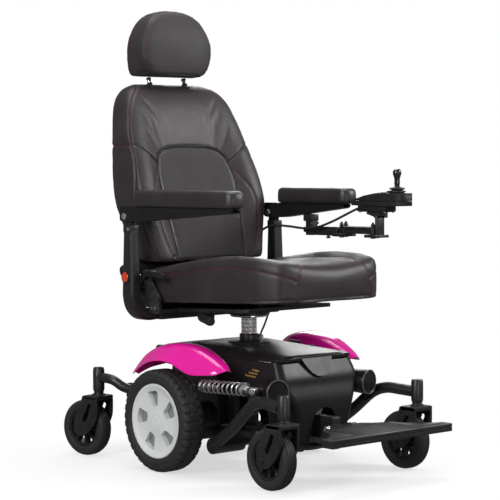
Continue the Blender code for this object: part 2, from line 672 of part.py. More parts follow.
def seat_frame():
    """Swivel plate, seat pan, armrest receivers and the recliner's side plates."""
    swivel = turned([(0, SEAT_TURN_Z + GAP), (64, SEAT_TURN_Z + GAP), (64, 462), (0, 462)],
                    (0, PEDESTAL_Y, 0), (0, 0, 1), 18)
    riser = box((-70, PEDESTAL_Y - 60, 460), (70, PEDESTAL_Y + 60, 474), 2)
    pan = loft([[(x, y, z - 0.042 * y) for x, y in rounded(180, 195, 20, 2, (0, -40))]
                for z in (467, 478)])
    receiver = box((-200, ARMREST_Y - 26, 438), (200, ARMREST_Y + 20, 476), 2)
    outriggers = [box((s * 160, 66, 462), (s * 254, 110, 474), 2) for s in (1, -1)]
    lug = box((-143.8, -52, 448), (-135, -28, 472), 1)
    plate = [(66, 464), (112, 464), (118, 500), (172, 530), (172, 550), (162, 562), (150, 570),
             (146, 592), (112, 592), (106, 556), (66, 510)]
    plates = [prism(plate, s * 246, s * 254, "x") for s in (1, -1)]
    pins = [rod((s * 235, BACK_HINGE.y, BACK_HINGE.z), (s * 258, BACK_HINGE.y, BACK_HINGE.z), 7, 12)
            for s in (1, -1)]
    return joined(swivel, riser, pan, receiver, lug, *outriggers, *plates, *pins)


def cushion_section(y, half, foot, top, swell):
    """Seat cushion across the chair: flat foot, dished middle and raised side bolsters."""
    right = [(0, foot), (half * 0.93, foot), (half * 0.99, foot + 16), (half, foot + 60),
             (half * 0.985, top - 14 + swell * 0.6), (half * 0.93, top + swell),
             (half * 0.83, top + swell + 2), (half * 0.66, top + swell * 0.45), (half * 0.35, top - 4)]
    return ([(x, y, z) for x, z in right] + [(0, y, top - 6)]
            + [(-x, y, z) for x, z in reversed(right[1:])])


def seat_cushion():
    """Captain-seat cushion with a waterfall front and round front corners."""
    half = CUSHION_HALF
    stations = [
        # y, half width, bolster swell, top height
        (-431, 0.62, 0, 588), (-427, 0.71, 0, 606), (-416, 0.81, 1, 621), (-398, 0.885, 4, 629),
        (-350, 0.96, 9, 631), (-300, 0.985, 15, 629), (-200, 1.0, 22, 622), (-80, 1.0, 20, 611),
        (20, 1.0, 14, 602), (90, 1.0, 5, 598), (150, 0.99, 0, 596), (172, 0.97, 0, 580),
    ]
    return loft([cushion_section(y, half * wide, 492.5 - 0.042 * y, top, swell)
                 for y, wide, swell, top in stations])


def seat():
    lift = moving("seat_lift", (0, PEDESTAL_Y, 0))
    place("seat_post", seat_post(), "chrome", lift)
    body = moving("seat", (0, PEDESTAL_Y, SEAT_TURN_Z), lift)
    place("seat_frame", seat_frame(), "frame_black", body)
    place("seat_cushion", seat_cushion(), "vinyl", body, 60)

    lever = moving("swivel_lever", (-146, -40, 456.5), body)
    shaft = rod((-146, -40, 456.5), (-204, -62, 458), 5, 10)
    grip = rod((-198, -60, 458), (-232, -153, 450), 14, 16)
    place("swivel_lever", joined(shaft, grip), "moulded_black", lever)

    recline = moving("recline_lever", (-262, 127, 577), body)
    hub = rod((-254 - GAP, 127, 577), (-266, 127, 577), 12, 12)
    paddle = sweep([(-262, 124, 577), (-263, 80, 582), (-262, 30, 574)],
                   [rounded(4, 9, 3), rounded(5, 10, 4), rounded(5, 8, 4)])
    place("recline_lever", joined(hub, paddle), "moulded_black", recline)


# ---------------------------------------------------------------- backrest
BACK_LEVELS = [
    # height, half width, bolster front, middle front, rear
    (610, 206, 108, 128, 258), (622, 212, 100, 126, 263), (680, 227, 112, 139, 276),
    (742, 243, 124, 158, 288), (787, 256, 134, 172, 297), (857, 256, 156, 193, 311),
    (921, 249, 182, 214, 322), (986, 239, 211, 235, 334), (1058, 225, 241, 257, 351),
    (1112, 206, 266, 274, 362), (1146, 176, 288, 290, 365), (1164, 140, 316, 314, 352),
]


def back_ring(level):
    """One level of the backrest: bolsters standing ahead of the middle, round rear edge."""
    z, half, bolster, middle, rear = level
    right = [(0, middle), (0.42, middle - 1), (0.62, (middle + bolster) / 2), (0.78, bolster),
             (0.92, bolster + 3), (0.985, bolster + 16), (1.0, (bolster + rear) / 2),
             (0.985, rear - 16), (0.93, rear - 3), (0.6, rear)]
    points = [(half * share, y) for share, y in right] + [(0, rear)]
    return ([(x, y, z) for x, y in points]
            + [(-x, y, z) for x, y in reversed(points[1:-1])])


def backrest_cushion():
    """Wide contoured backrest with two deep holes for the headrest posts."""
    bm = loft([back_ring(level) for level in BACK_LEVELS])
    lean = Vector((0, math.sin(BACK_TILT), math.cos(BACK_TILT)))
    posts = [HEADREST_FOOT + Vector((s * HEADREST_POST_X, 0, 0)) for s in (1, -1)]
    holes = [rod(foot - lean * 112, foot + lean * 30, 7.5, 10) for foot in posts]
    return cut(bm, *holes)


def backrest_shell():
    """Rear board, lower crossbar and the two side arms that carry the hinge."""
    levels = [(586, 214, 258)] + [(z, half * 0.86, rear) for z, half, _, _, rear in BACK_LEVELS[1:10]]
    board = loft([[(x, y, z) for x, y in rounded(half, 6, 4, 2, (0, rear + GAP + 6))]
                  for z, half, rear in levels])
    bar = box((-240, 240, 570), (240, 272, 602), 8)
    outline = [(134, 532), (140, 524), (160, 524), (200, 546), (258, 562), (270, 572), (274, 586),
               (266, 598), (240, 600), (150, 560), (138, 552)]
    arms = [cut(prism(outline, s * 236, s * 244, "x"),
                rod((s * 230, BACK_HINGE.y, BACK_HINGE.z), (s * 250, BACK_HINGE.y, BACK_HINGE.z),
                    7 + GAP, 12)) for s in (1, -1)]
    return joined(board, bar, *arms)


def headrest_posts():
    """Two bright posts joined by the strip that carries the headrest."""
    lean = Vector((0, math.sin(BACK_TILT), math.cos(BACK_TILT)))
    posts = [HEADREST_FOOT + Vector((s * HEADREST_POST_X, 0, 0)) for s in (1, -1)]
    legs = [rod(foot - lean * 104, foot + lean * 3, 6, 12) for foot in posts]
    strip = box((-92, 331, 1178), (92, 357, 1183), 1)
    return joined(strip, *legs)


def headrest_cushion():
    """Domed pillow with a full front and a flat foot."""
    levels = [
        # height, share of the width at the back and at the face, share of the depth
        (1183.3, 0.88, 0.70, 0.82), (1192, 0.94, 0.79, 0.92), (1212, 0.98, 0.90, 0.99),
        (1245, 1.0, 0.985, 1.0), (1290, 0.985, 0.985, 1.0), (1331, 0.865, 0.865, 0.94),
        (1360, 0.73, 0.73, 0.82), (1379, 0.57, 0.57, 0.66), (1389, 0.41, 0.41, 0.5),
        (1396, 0.18, 0.18, 0.28),
    ]
    rings = []
    for z, wide, face, deep in levels:
        middle = HEADREST_FOOT.y - 21 + max(0, z - 1290) * 0.08
        depth = 56 * deep
        front = [(0, -depth), (0.45, -depth * 0.99), (0.8, -depth * 0.93), (0.95, -depth * 0.78),
                 (1.0, -depth * 0.3)]
        rear = [(0.985, depth * 0.7), (0.93, depth * 0.95)]
        points = ([(144 * face * share, y) for share, y in front]
                  + [(144 * wide * share, y) for share, y in rear] + [(0, depth)])
        ring = [(x, middle + y, z) for x, y in points]
        rings.append(ring + [(-x, y, z) for x, y, z in reversed(ring[1:-1])])
    return loft(rings)


def backrest():
    body = moving("backrest", BACK_HINGE, "seat")
    place("backrest_shell", backrest_shell(), "moulded_black", body)
    place("backrest_cushion", backrest_cushion(), "vinyl", body, 60)
    head = moving("headrest", HEADREST_FOOT, body)
    place("headrest_posts", headrest_posts(), "chrome", head)
    place("headrest_cushion", headrest_cushion(), "vinyl", head, 60)


# ---------------------------------------------------------------- armrests
def armrest_post(side):
    """Tapered J-shaped post from the seat frame, with the hinge tongue on its top."""
    path = [(202, ARMREST_Y, 456), (236, ARMREST_Y, 456), (262, ARMREST_Y, 462),
            (282, ARMREST_Y, 482), (291, ARMREST_Y, 512), (ARMREST_X, ARMREST_Y, 545),
            (ARMREST_X, ARMREST_Y, 709)]
    sizes = [(18, 17), (24, 18), (25, 19), (25, 19.5), (25, 19), (24.5, 18.5), (20, 16)]
    sections = [rounded(wide, thick, 8, 2) for wide, thick in sizes]
    tube = sweep(path, sections, side=(0, 1, 0))
    tongue = prism([(138, 700), (172, 700), (172, 750), (168, 762), (158, 766), (148, 762),
                    (142, 750), (138, 732)], 284, 300, "x")
    hole = rod((270, ARMREST_PIVOT.y, ARMREST_PIVOT.z), (320, ARMREST_PIVOT.y, ARMREST_PIVOT.z),
               5 + GAP, 10)
    return mirrored(joined(tube, cut(tongue, hole)), side)


def armrest_bar(side, front):
    """Tapering channel that carries the pad, slotted at its rear round the tongue."""
    top = PAD_BOTTOM - GAP
    outline = [(182, 742), (182, 778), (176, top), (front, top), (front, 776), (96, 738), (170, 738)]
    bar = prism(outline, ARMREST_X - 19, ARMREST_X + 19, "x")
    slot = box((ARMREST_X - 8.6, 130, 730), (ARMREST_X + 8.6, 190, 772))
    bolt = rod((ARMREST_X - 22, ARMREST_PIVOT.y, ARMREST_PIVOT.z),
               (ARMREST_X + 22, ARMREST_PIVOT.y, ARMREST_PIVOT.z), 5, 10)
    heads = [rod((ARMREST_X + s * 18, ARMREST_PIVOT.y, ARMREST_PIVOT.z),
                 (ARMREST_X + s * 23, ARMREST_PIVOT.y, ARMREST_PIVOT.z), 9, 6) for s in (1, -1)]
    return mirrored(joined(cut(bar, slot), bolt, *heads), side)


def arm_pad(side, front, rear):
    """Rounded foam pad."""
    levels = [(PAD_BOTTOM, 0.86, 8), (PAD_BOTTOM + 5, 0.98, 1), (PAD_BOTTOM + 22, 1.0, 0),
              (PAD_TOP - 8, 0.94, 3), (PAD_TOP - 2, 0.8, 9), (PAD_TOP, 0.62, 15)]
    rings = []
    for z, wide, inset in levels:
        plan = rounded(PAD_HALF * wide, (rear - front) / 2 - inset, PAD_HALF * wide * 0.7, 3,
                       (ARMREST_X, (rear + front) / 2))
        rings.append([(x, y, z) for x, y in plan])
    return mirrored(loft(rings), side)


def armrests():
    ends = {"left": (-179, -206, 117), "right": (-332, -347, 112)}
    for label, side in SIDES:
        place(f"armrest_post_{label}", armrest_post(side), "frame_black", "seat")
        disc = turned([(0, 0), (17, 0), (17, 4), (13, 6), (0, 6.5)],
                      (side * (ARMREST_X + 18.6), ARMREST_Y + 4, 571), (side, 0, 0), 20)
        place(f"reflector_{label}", disc, "reflector", "seat")
        pivot = (side * ARMREST_X, ARMREST_PIVOT.y, ARMREST_PIVOT.z)
        body = moving(f"armrest_{label}", pivot, "seat")
        bar_front, pad_front, pad_rear = ends[label]
        place(f"armrest_bar_{label}", armrest_bar(side, bar_front), "frame_black", body)
        place(f"arm_pad_{label}", arm_pad(side, pad_front, pad_rear), "arm_foam", body)


# ---------------------------------------------------------------- controller
def swing_pins(corner, top):
    """The two upright pins of one end of the swing-away linkage, with pointed caps."""
    pins = []
    for spot in (corner, corner + LINK_OFFSET):
        pins.append(turned([(0, 686), (4.5, 686), (4.5, top), (7, top), (6.5, top + 5),
                            (2, top + 13), (0, top + 14)], (spot.x, spot.y, 0), (0, 0, 1), 10))
    return pins


def controller_mount():
    """Clamp under the left armrest and the plate that carries the rear pair of pins."""
    hanger = box((275, -44, 684), (307, 2, 740), 3)
    neck = box((281, -34, 730), (301, -8, 750), 2)
    plate = box((260, -192, 684), (322, -146, 694), 2)
    rail = box((280, -150, 686), (302, -36, 708), 3)
    knob = rod((291, -100, 672), (291, -100, 690), 8, 10)
    return joined(hanger, neck, plate, rail, knob, *swing_pins(LINK_OUTER, LINK_OUTER.z + LINK_HEIGHT + 0.7))


def swing_link(corner):
    """Deep link between a rear pin and a front pin."""
    far = corner - Vector((0, LINK_LENGTH, 0))
    ends = [(corner.x + 7 * math.cos(a), corner.y + 7 * math.sin(a))
            for a in (math.pi * k / 4 for k in range(5))]
    ends += [(far.x + 7 * math.cos(a), far.y + 7 * math.sin(a))
             for a in (math.pi * (1 + k / 4) for k in range(5))]
    bar = prism(ends, corner.z, corner.z + LINK_HEIGHT)
    holes = [rod((p.x, p.y, corner.z - 5), (p.x, p.y, corner.z + LINK_HEIGHT + 5), 4.5 + GAP, 10)
             for p in (corner, far)]
    return cut(bar, *holes)


def controller_bracket():
    """Front plate with its pins, and the bent strap up to the controller."""
    front = LINK_OUTER - Vector((0, LINK_LENGTH, 0))
    plate = box((262, -336, 684), (320, -284, 694), 2)
    strap = box((266, -336, 690), (300, -327, 752), 2)
    shelf = prism([(-336, 744), (-290, 756), (-290, 762 - GAP), (-336, 762 - GAP)], 268, 314, "x")
    return joined(plate, strap, shelf, *swing_pins(front, front.z + LINK_HEIGHT + 0.7))


def controller_housing():
    """Joystick box: a wedge that thins to the rear, with a ball seat in its top."""
    side_view = [(-446, 797), (-443, 812), (-434, 820), (-338, 820), (-286, 812), (-230, 797),
                 (-219, 788), (-221, 781), (-434, 781), (-443, 786)]
    plan = [(309, -219), (318, -248), (323, -330), (324, -400), (319, -430), (305, -445), (291, -448)]
    plan = plan + [(2 * 291 - x, y) for x, y in reversed(plan[:-1])]
    top = kept(prism(side_view, 250, 332, "x"), prism(plan, 770, 830))
    belly = box((266, -371, 762), (316, -252, 790), 4)
    seat_ball = turned([(0, -20)] + [(20 * math.cos(a), 20 * math.sin(a))
                                     for a in (math.radians(-60 + 30 * k) for k in range(5))]
                       + [(0, 20)], STICK, (0, 0, 1), 16)
    key_well = box((272.5, -361.5, 816), (287.5, -346.5, 826))
    dial_well = rod((303, -354, 816.5), (303, -354, 826), 9.5, 16)
    return cut(joined(top, belly), seat_ball, key_well, dial_well)


def joystick_gimbal():
    """Ball cap that rocks left and right, slotted for the stick."""
    dome = turned([(0, 19)] + [(19 * math.cos(a), 19 * math.sin(a))
                               for a in (math.radians(68 - 22 * k) for k in range(5))]
                  + [(0, 19 * math.sin(math.radians(-20)))], STICK, (0, 0, 1), 16)
    hollow = turned([(0, 15)] + [(15 * math.cos(a), 15 * math.sin(a))
                                 for a in (math.radians(60 - 30 * k) for k in range(4))]
                    + [(0, -12)], STICK, (0, 0, 1), 12)
    opening = rod(STICK + Vector((0, 0, -20)), STICK + Vector((0, 0, -4)), 11, 12)
    slot = box(STICK + Vector((-4.5, -12, 0)), STICK + Vector((4.5, 12, 30)))
    return cut(dome, hollow, opening, slot)


def joystick_handle():
    """Stick on its cross pin, with the round-topped grip."""
    profile = [(0, -3), (3.5, -3), (3.5, 24), (8, 27), (9.5, 36), (8.5, 46), (12, 56), (13, 64),
               (10.5, 71), (6, 75), (0, 76)]
    stick = turned(profile, STICK, (0, 0, 1), 14)
    pin = rod(STICK + Vector((-8, 0, 0)), STICK + Vector((8, 0, 0)), 3, 8)
    return joined(stick, pin)


def controller():
    place("controller_mount", controller_mount(), "frame_black", "armrest_left")
    inner = LINK_OUTER + LINK_OFFSET
    outer_body = moving("swing_link_outer", LINK_OUTER, "armrest_left")
    place("swing_link_outer", swing_link(LINK_OUTER), "frame_black", outer_body)
    inner_body = moving("swing_link_inner", inner, "armrest_left")
    place("swing_link_inner", swing_link(inner), "frame_black", inner_body)
    body = moving("controller", LINK_OUTER - Vector((0, LINK_LENGTH, 0)), outer_body)
    place("controller_bracket", controller_bracket(), "frame_black", body)
    place("controller_housing", controller_housing(), "moulded_black", body)
    gimbal = moving("joystick_gimbal", STICK, body)
    place("joystick_gimbal", joystick_gimbal(), "moulded_black", gimbal)
    stick = moving("joystick_handle", STICK, gimbal)
    place("joystick_handle", joystick_handle(), "moulded_black", stick)
    key = moving("power_button", (280, -354, 820), body)
    place("power_button", box((273, -361, 817.6), (287, -347, 822.4), 1), "grey_plastic", key)
    dial = moving("speed_dial", (303, -354, 820), body)
    place("speed_dial", turned([(0, 816.9), (9, 816.9), (9, 819), (8, 826), (0, 826)],
                               (303, -354, 0), (0, 0, 1), 14), "grey_plastic", dial)


def leads():
    """The joystick's lead, which runs back along the armrest and down behind the seat, and
    the lead that drops from the seat frame to the base."""
    cable("controller_cable", [(291, -251, 771), (290, -230, 770), (281, -204, 758),
                               (271, -174, 743), (263, -140, 728), (263, -80, 711),
                               (264, -20, 706), (265, 60, 711), (265, 130, 711), (263, 180, 694),
                               (258, 208, 650), (254, 220, 590), (252, 217, 535), (248, 207, 480),
                               (200, 198, 458), (152, 184, 456), (150, 170.7, 456)], 6, 3, "seat")
    cable("seat_cable", [(114, -20, 466.7), (113, -20, 456), (90, -24, 415), (77, -22, 390),
                         (73, -20, 371.5)], 6, 3)


def build():
    for obj in list(bpy.data.objects):
        bpy.data.objects.remove(obj, do_unlink=True)
    base()
    drive_wheels()
    suspension()
    casters()
    body = moving("footplate", FOOTPLATE_HINGE)
    place("footplate", footplate(), "moulded_black", body)
    seat()
    backrest()
    armrests()
    controller()
    leads()


build()
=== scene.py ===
"""Looks of a mid-wheel-drive power wheelchair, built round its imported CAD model.

Shapes are drawn in millimetres from the middle of the drive axle, with the floor at
z = 0, the front at -Y and the user's left at +X; piece() moves them into the row frame.
"""
import json
import math

import bmesh
import bpy
import numpy as np
from mathutils import Matrix, Vector, noise
from mathutils.bvhtree import BVHTree
from mathutils.kdtree import KDTree

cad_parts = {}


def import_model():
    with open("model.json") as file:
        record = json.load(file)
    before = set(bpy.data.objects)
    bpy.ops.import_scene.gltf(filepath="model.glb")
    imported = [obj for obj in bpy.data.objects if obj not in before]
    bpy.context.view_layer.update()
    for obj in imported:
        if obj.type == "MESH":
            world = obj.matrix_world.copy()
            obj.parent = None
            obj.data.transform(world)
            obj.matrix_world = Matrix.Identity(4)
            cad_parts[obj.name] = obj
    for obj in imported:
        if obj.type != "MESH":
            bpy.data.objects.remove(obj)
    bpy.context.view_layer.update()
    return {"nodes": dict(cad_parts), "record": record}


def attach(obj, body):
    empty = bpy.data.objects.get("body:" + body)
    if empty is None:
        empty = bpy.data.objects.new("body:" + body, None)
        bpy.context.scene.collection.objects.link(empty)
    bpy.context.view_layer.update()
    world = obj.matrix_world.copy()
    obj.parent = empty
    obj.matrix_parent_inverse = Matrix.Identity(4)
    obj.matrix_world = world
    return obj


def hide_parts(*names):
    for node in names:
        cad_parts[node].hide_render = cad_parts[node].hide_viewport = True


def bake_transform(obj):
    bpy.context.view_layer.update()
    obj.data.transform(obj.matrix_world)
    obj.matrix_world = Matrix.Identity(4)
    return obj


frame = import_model()

# ---------------------------------------------------------------- driving dimensions (mm)
MM = 0.001
AXLE_Y = 88.5                   # drive axle behind the middle of the footprint
GAP = 0.3
LEFT, RIGHT = 1, -1
SIDES = (("left", LEFT), ("right", RIGHT))
DRIVE_RADIUS, DRIVE_TRACK = 152.5, 292.0
CASTER_RADIUS, CASTER_WIDTH, CASTER_TRACK = 87.0, 48.0, 268.0
CASTER_TRAIL = 50.0
FRONT_STEM_Y, REAR_STEM_Y = -500.0, 353.0
REAR_RIGHT_TURN = math.radians(11)
ARM_PIVOT = Vector((0, -161.0, 88.0))
SHOCK_REAR = Vector((216, -63.0, 256.0))
SHOCK_FRONT = Vector((225, -337.0, 265.0))
PEDESTAL_Y = -53.0
SEAT_TURN_Z = 454.0
CUSHION_HALF = 231.0
BACK_HINGE = Vector((0, 150.0, 540.0))
BACK_TILT = math.radians(17)
HEADREST_POST_X = 71.0
HEADREST_FOOT = Vector((0, 339.0, 1176.0))
ARMREST_X, ARMREST_Y = 292.0, 150.0
ARMREST_PIVOT = Vector((0, 160.0, 754.0))
PAD_BOTTOM, PAD_TOP, PAD_HALF = 785.0, 834.0, 32.0
STICK = Vector((291, -397.0, 817.0))
CAMERA_PLACE = Vector((-3.5907, -4.0461, 0.9184))    # metres, in the row frame
CAMERA_AXES = (Vector((0.75010, -0.66130, -0.00547)), Vector((0.03691, 0.03360, 0.99875)),
               Vector((-0.66029, -0.74937, 0.04961)))    # its right, up and back
LENS, SENSOR = 129.09, 36


# ---------------------------------------------------------------- objects and meshes
def loose(name, data):
    """An object in the scene that rides no body yet."""
    obj = bpy.data.objects.new(name, data)
    bpy.context.scene.collection.objects.link(obj)
    return obj


def mesh_of(name, bm):
    """A mesh with the bmesh's shape; the bmesh is freed."""
    mesh = bpy.data.meshes.new(name)
    bm.to_mesh(mesh)
    bm.free()
    return mesh


# ---------------------------------------------------------------- camera, lights and floor
def camera():
    """A long lens, low down, ahead of the chair and on the user's right."""
    data = bpy.data.cameras.new("camera")
    data.sensor_width = SENSOR
    data.lens = LENS
    data.clip_end = 100
    obj = loose("camera", data)
    obj.matrix_world = Matrix.Translation(CAMERA_PLACE) @ Matrix(CAMERA_AXES).transposed().to_4x4()
    bpy.context.scene.camera = obj


def area_light(name, place, aim, size, power):
    data = bpy.data.lights.new(name, "AREA")
    data.shape = "RECTANGLE"
    data.size, data.size_y = size
    data.energy = power
    obj = loose(name, data)
    obj.location = place
    obj.rotation_euler = (Vector(aim) - Vector(place)).to_track_quat("-Z", "Y").to_euler()


def studio():
    """Soft boxes round the object, a pale surround and a pale floor."""
    area_light("overhead", (0.1, 0.4, 3.6), (0, 0, 0.6), (2.2, 2.0), 70)
    area_light("key", (-3.2, -0.7, 2.0), (0, 0.05, 0.75), (0.9, 2.0), 78)
    area_light("front_left", (2.5, -2.4, 2.4), (0, 0, 0.8), (1.5, 1.5), 105)
    area_light("front_right", (-1.2, -3.9, 1.0), (0, 0, 0.5), (1.4, 1.2), 22)
    area_light("rim", (2.6, 2.4, 2.2), (0, 0, 0.7), (1.2, 2.2), 40)
    world = bpy.data.worlds.new("surround")
    bpy.context.scene.world = world
    world.use_nodes = True
    tree = world.node_tree
    tree.nodes.clear()
    out = tree.nodes.new("ShaderNodeOutputWorld")
    mix = tree.nodes.new("ShaderNodeMixShader")
    seen = tree.nodes.new("ShaderNodeBackground")
    seen.inputs["Color"].default_value = (1, 1, 1, 1)
    lit = tree.nodes.new("ShaderNodeBackground")
    lit.inputs["Color"].default_value = (1.0, 0.97, 1.0, 1)
    lit.inputs["Strength"].default_value = 0.16
    path = tree.nodes.new("ShaderNodeLightPath")
    tree.links.new(path.outputs["Is Camera Ray"], mix.inputs["Fac"])
    tree.links.new(lit.outputs[0], mix.inputs[1])
    tree.links.new(seen.outputs[0], mix.inputs[2])
    tree.links.new(mix.outputs[0], out.inputs["Surface"])

    bm = bmesh.new()
    bmesh.ops.create_circle(bm, cap_ends=True, segments=64, radius=30)
    floor = loose("floor", mesh_of("floor", bm))
    floor.data.materials.append(floor_material())
    view = bpy.context.scene.view_settings
    view.view_transform = "Standard"
    view.look = "None"


def floor_material():
    """White sweep: mostly even white to the eye, with a faint share of real shading near the
    object; other rays meet a duller floor."""
    made = bpy.data.materials.new("floor")
    made.use_nodes = True
    tree = made.node_tree
    tree.nodes.clear()
    out = tree.nodes.new("ShaderNodeOutputMaterial")
    paint = tree.nodes.new("ShaderNodeBsdfDiffuse")
    paint.inputs["Color"].default_value = (0.9, 0.9, 0.9, 1)
    seen = tree.nodes.new("ShaderNodeEmission")
    dull = tree.nodes.new("ShaderNodeEmission")
    dull.inputs["Strength"].default_value = 0.2
    spot = tree.nodes.new("ShaderNodeTexCoord")
    size = tree.nodes.new("ShaderNodeVectorMath")
    size.operation = "LENGTH"
    ramp = tree.nodes.new("ShaderNodeMapRange")
    ramp.inputs["From Min"].default_value = 0.35
    ramp.inputs["From Max"].default_value = 1.1
    ramp.inputs["To Min"].default_value = 0.62
    near = tree.nodes.new("ShaderNodeMixShader")
    pick = tree.nodes.new("ShaderNodeMixShader")
    path = tree.nodes.new("ShaderNodeLightPath")
    tree.links.new(spot.outputs["Object"], size.inputs[0])
    tree.links.new(size.outputs["Value"], ramp.inputs["Value"])
    tree.links.new(ramp.outputs["Result"], near.inputs["Fac"])
    tree.links.new(paint.outputs[0], near.inputs[1])
    tree.links.new(seen.outputs[0], near.inputs[2])
    tree.links.new(path.outputs["Is Camera Ray"], pick.inputs["Fac"])
    tree.links.new(dull.outputs[0], pick.inputs[1])
    tree.links.new(near.outputs[0], pick.inputs[2])
    tree.links.new(pick.outputs[0], out.inputs["Surface"])
    return made


# ---------------------------------------------------------------- materials
def texture(tree, kind, coords, scale, **inputs):
    """A procedural texture node fed with object coordinates."""
    node = tree.nodes.new(kind)
    tree.links.new(coords, node.inputs["Vector"])
    node.inputs["Scale"].default_value = scale
    for key, value in inputs.items():
        node.inputs[key.replace("_", " ")].default_value = value
    return node


def remap(tree, source, low, high, start=0.0, end=1.0):
    node = tree.nodes.new("ShaderNodeMapRange")
    node.inputs["From Min"].default_value = low
    node.inputs["From Max"].default_value = high
    node.inputs["To Min"].default_value = start
    node.inputs["To Max"].default_value = end
    tree.links.new(source, node.inputs["Value"])
    return node.outputs["Result"]


def blended(tree, factor, one, other):
    """Colour between two fixed colours, or between a socket and a colour."""
    node = tree.nodes.new("ShaderNodeMix")
    node.data_type = "RGBA"
    tree.links.new(factor, node.inputs["Factor"])
    for key, colour in ((6, one), (7, other)):
        if isinstance(colour, bpy.types.NodeSocket):
            tree.links.new(colour, node.inputs[key])
        else:
            node.inputs[key].default_value = (*colour, 1)
    return node.outputs[2]


def calc(tree, operation, one, other=None):
    node = tree.nodes.new("ShaderNodeMath")
    node.operation = operation
    for index, value in enumerate((one, other)):
        if isinstance(value, bpy.types.NodeSocket):
            tree.links.new(value, node.inputs[index])
        elif value is not None:
            node.inputs[index].default_value = value
    return node.outputs[0]


def leather_grain(tree, coords):
    """Cells divided by fine creases, a little uneven."""
    wobble = texture(tree, "ShaderNodeTexNoise", coords, 300, Detail=2.0)
    cells = tree.nodes.new("ShaderNodeTexVoronoi")
    cells.feature = "DISTANCE_TO_EDGE"
    cells.inputs["Scale"].default_value = 620
    shift = tree.nodes.new("ShaderNodeVectorMath")
    shift.operation = "MULTIPLY_ADD"
    shift.inputs[1].default_value = (0.0012, 0.0012, 0.0012)
    tree.links.new(wobble.outputs["Color"], shift.inputs[0])
    tree.links.new(coords, shift.inputs[2])
    tree.links.new(shift.outputs[0], cells.inputs["Vector"])
    creases = remap(tree, cells.outputs["Distance"], 0.0, 0.16)
    return calc(tree, "ADD", creases, calc(tree, "MULTIPLY", wobble.outputs["Fac"], 0.6))


def pebble_grain(tree, coords):
    """Fine spark-eroded texture of a moulded part."""
    bumps = texture(tree, "ShaderNodeTexVoronoi", coords, 1100, Randomness=1.0)
    return bumps.outputs["Distance"]


def paint_grain(tree, coords):
    """Slight orange peel."""
    return texture(tree, "ShaderNodeTexNoise", coords, 420, Detail=2.0).outputs["Fac"]


def foam_grain(tree, coords):
    """Skin of self-skinning foam, with a light moulded grain."""
    bumps = texture(tree, "ShaderNodeTexVoronoi", coords, 800, Randomness=1.0)
    rough = texture(tree, "ShaderNodeTexNoise", coords, 60, Detail=4.0)
    return calc(tree, "ADD", bumps.outputs["Distance"], rough.outputs["Fac"])


def mesh_grain(tree, coords):
    """Spacer mesh: small round holes in nearly even rows."""
    holes = texture(tree, "ShaderNodeTexVoronoi", coords, 760, Randomness=0.35)
    return remap(tree, holes.outputs["Distance"], 0.15, 0.5)


def rubber_grain(tree, coords):
    return texture(tree, "ShaderNodeTexNoise", coords, 260, Detail=6.0).outputs["Fac"]


def brushed_grain(tree, coords):
    """Fine lines left by drawing the metal, along Z."""
    stretch = tree.nodes.new("ShaderNodeMapping")
    stretch.inputs["Scale"].default_value = (1, 1, 0.03)
    tree.links.new(coords, stretch.inputs["Vector"])
    return texture(tree, "ShaderNodeTexNoise", stretch.outputs[0], 900, Detail=3.0).outputs["Fac"]


def prism_grain(tree, coords):
    """Corner-cube cells of a reflector."""
    cells = texture(tree, "ShaderNodeTexVoronoi", coords, 360, Randomness=0.0)
    return cells.outputs["Distance"]


def material(name, colour, rough, metallic=0.0, grain=None, depth=0.0001, strength=0.4,
             drift=0.12, wear=None, coat=0.0, sheen=0.0, dust=0.0, shine=0.5):
    """A procedural finish: colour drift, uneven gloss, surface grain and worn edges."""
    made = bpy.data.materials.new(name)
    made.use_nodes = True
    tree = made.node_tree
    shader = tree.nodes["Principled BSDF"]
    coords = tree.nodes.new("ShaderNodeTexCoord").outputs["Object"]
    broad = texture(tree, "ShaderNodeTexNoise", coords, 9, Detail=5.0, Roughness=0.6)
    fine = texture(tree, "ShaderNodeTexNoise", coords, 70, Detail=4.0, Roughness=0.6)
    lighter = tuple(min(1, c * (1 + drift) + 0.002) for c in colour)
    darker = tuple(c * (1 - drift) for c in colour)
    shade = blended(tree, remap(tree, broad.outputs["Fac"], 0.35, 0.65), darker, lighter)
    if dust:
        pale = tuple(min(1, c + dust) for c in colour)
        shade = blended(tree, remap(tree, fine.outputs["Fac"], 0.55, 0.8), shade, pale)
    if wear:
        edge = tree.nodes.new("ShaderNodeNewGeometry").outputs["Pointiness"]
        rubbed = calc(tree, "MULTIPLY", remap(tree, edge, 0.53, 0.62),
                      remap(tree, fine.outputs["Fac"], 0.4, 0.6))
        shade = blended(tree, rubbed, shade, wear)
    tree.links.new(shade, shader.inputs["Base Color"])
    gloss = calc(tree, "ADD", remap(tree, broad.outputs["Fac"], 0.3, 0.7, rough * 0.88, rough * 1.1),
                 remap(tree, fine.outputs["Fac"], 0.3, 0.7, -0.02, 0.02))
    tree.links.new(gloss, shader.inputs["Roughness"])
    shader.inputs["Metallic"].default_value = metallic
    shader.inputs["Specular IOR Level"].default_value = shine
    shader.inputs["Coat Weight"].default_value = coat
    shader.inputs["Coat Roughness"].default_value = 0.06
    shader.inputs["Sheen Weight"].default_value = sheen
    if grain:
        bump = tree.nodes.new("ShaderNodeBump")
        bump.inputs["Strength"].default_value = strength
        bump.inputs["Distance"].default_value = depth
        tree.links.new(grain(tree, coords), bump.inputs["Height"])
        tree.links.new(bump.outputs["Normal"], shader.inputs["Normal"])
    return made


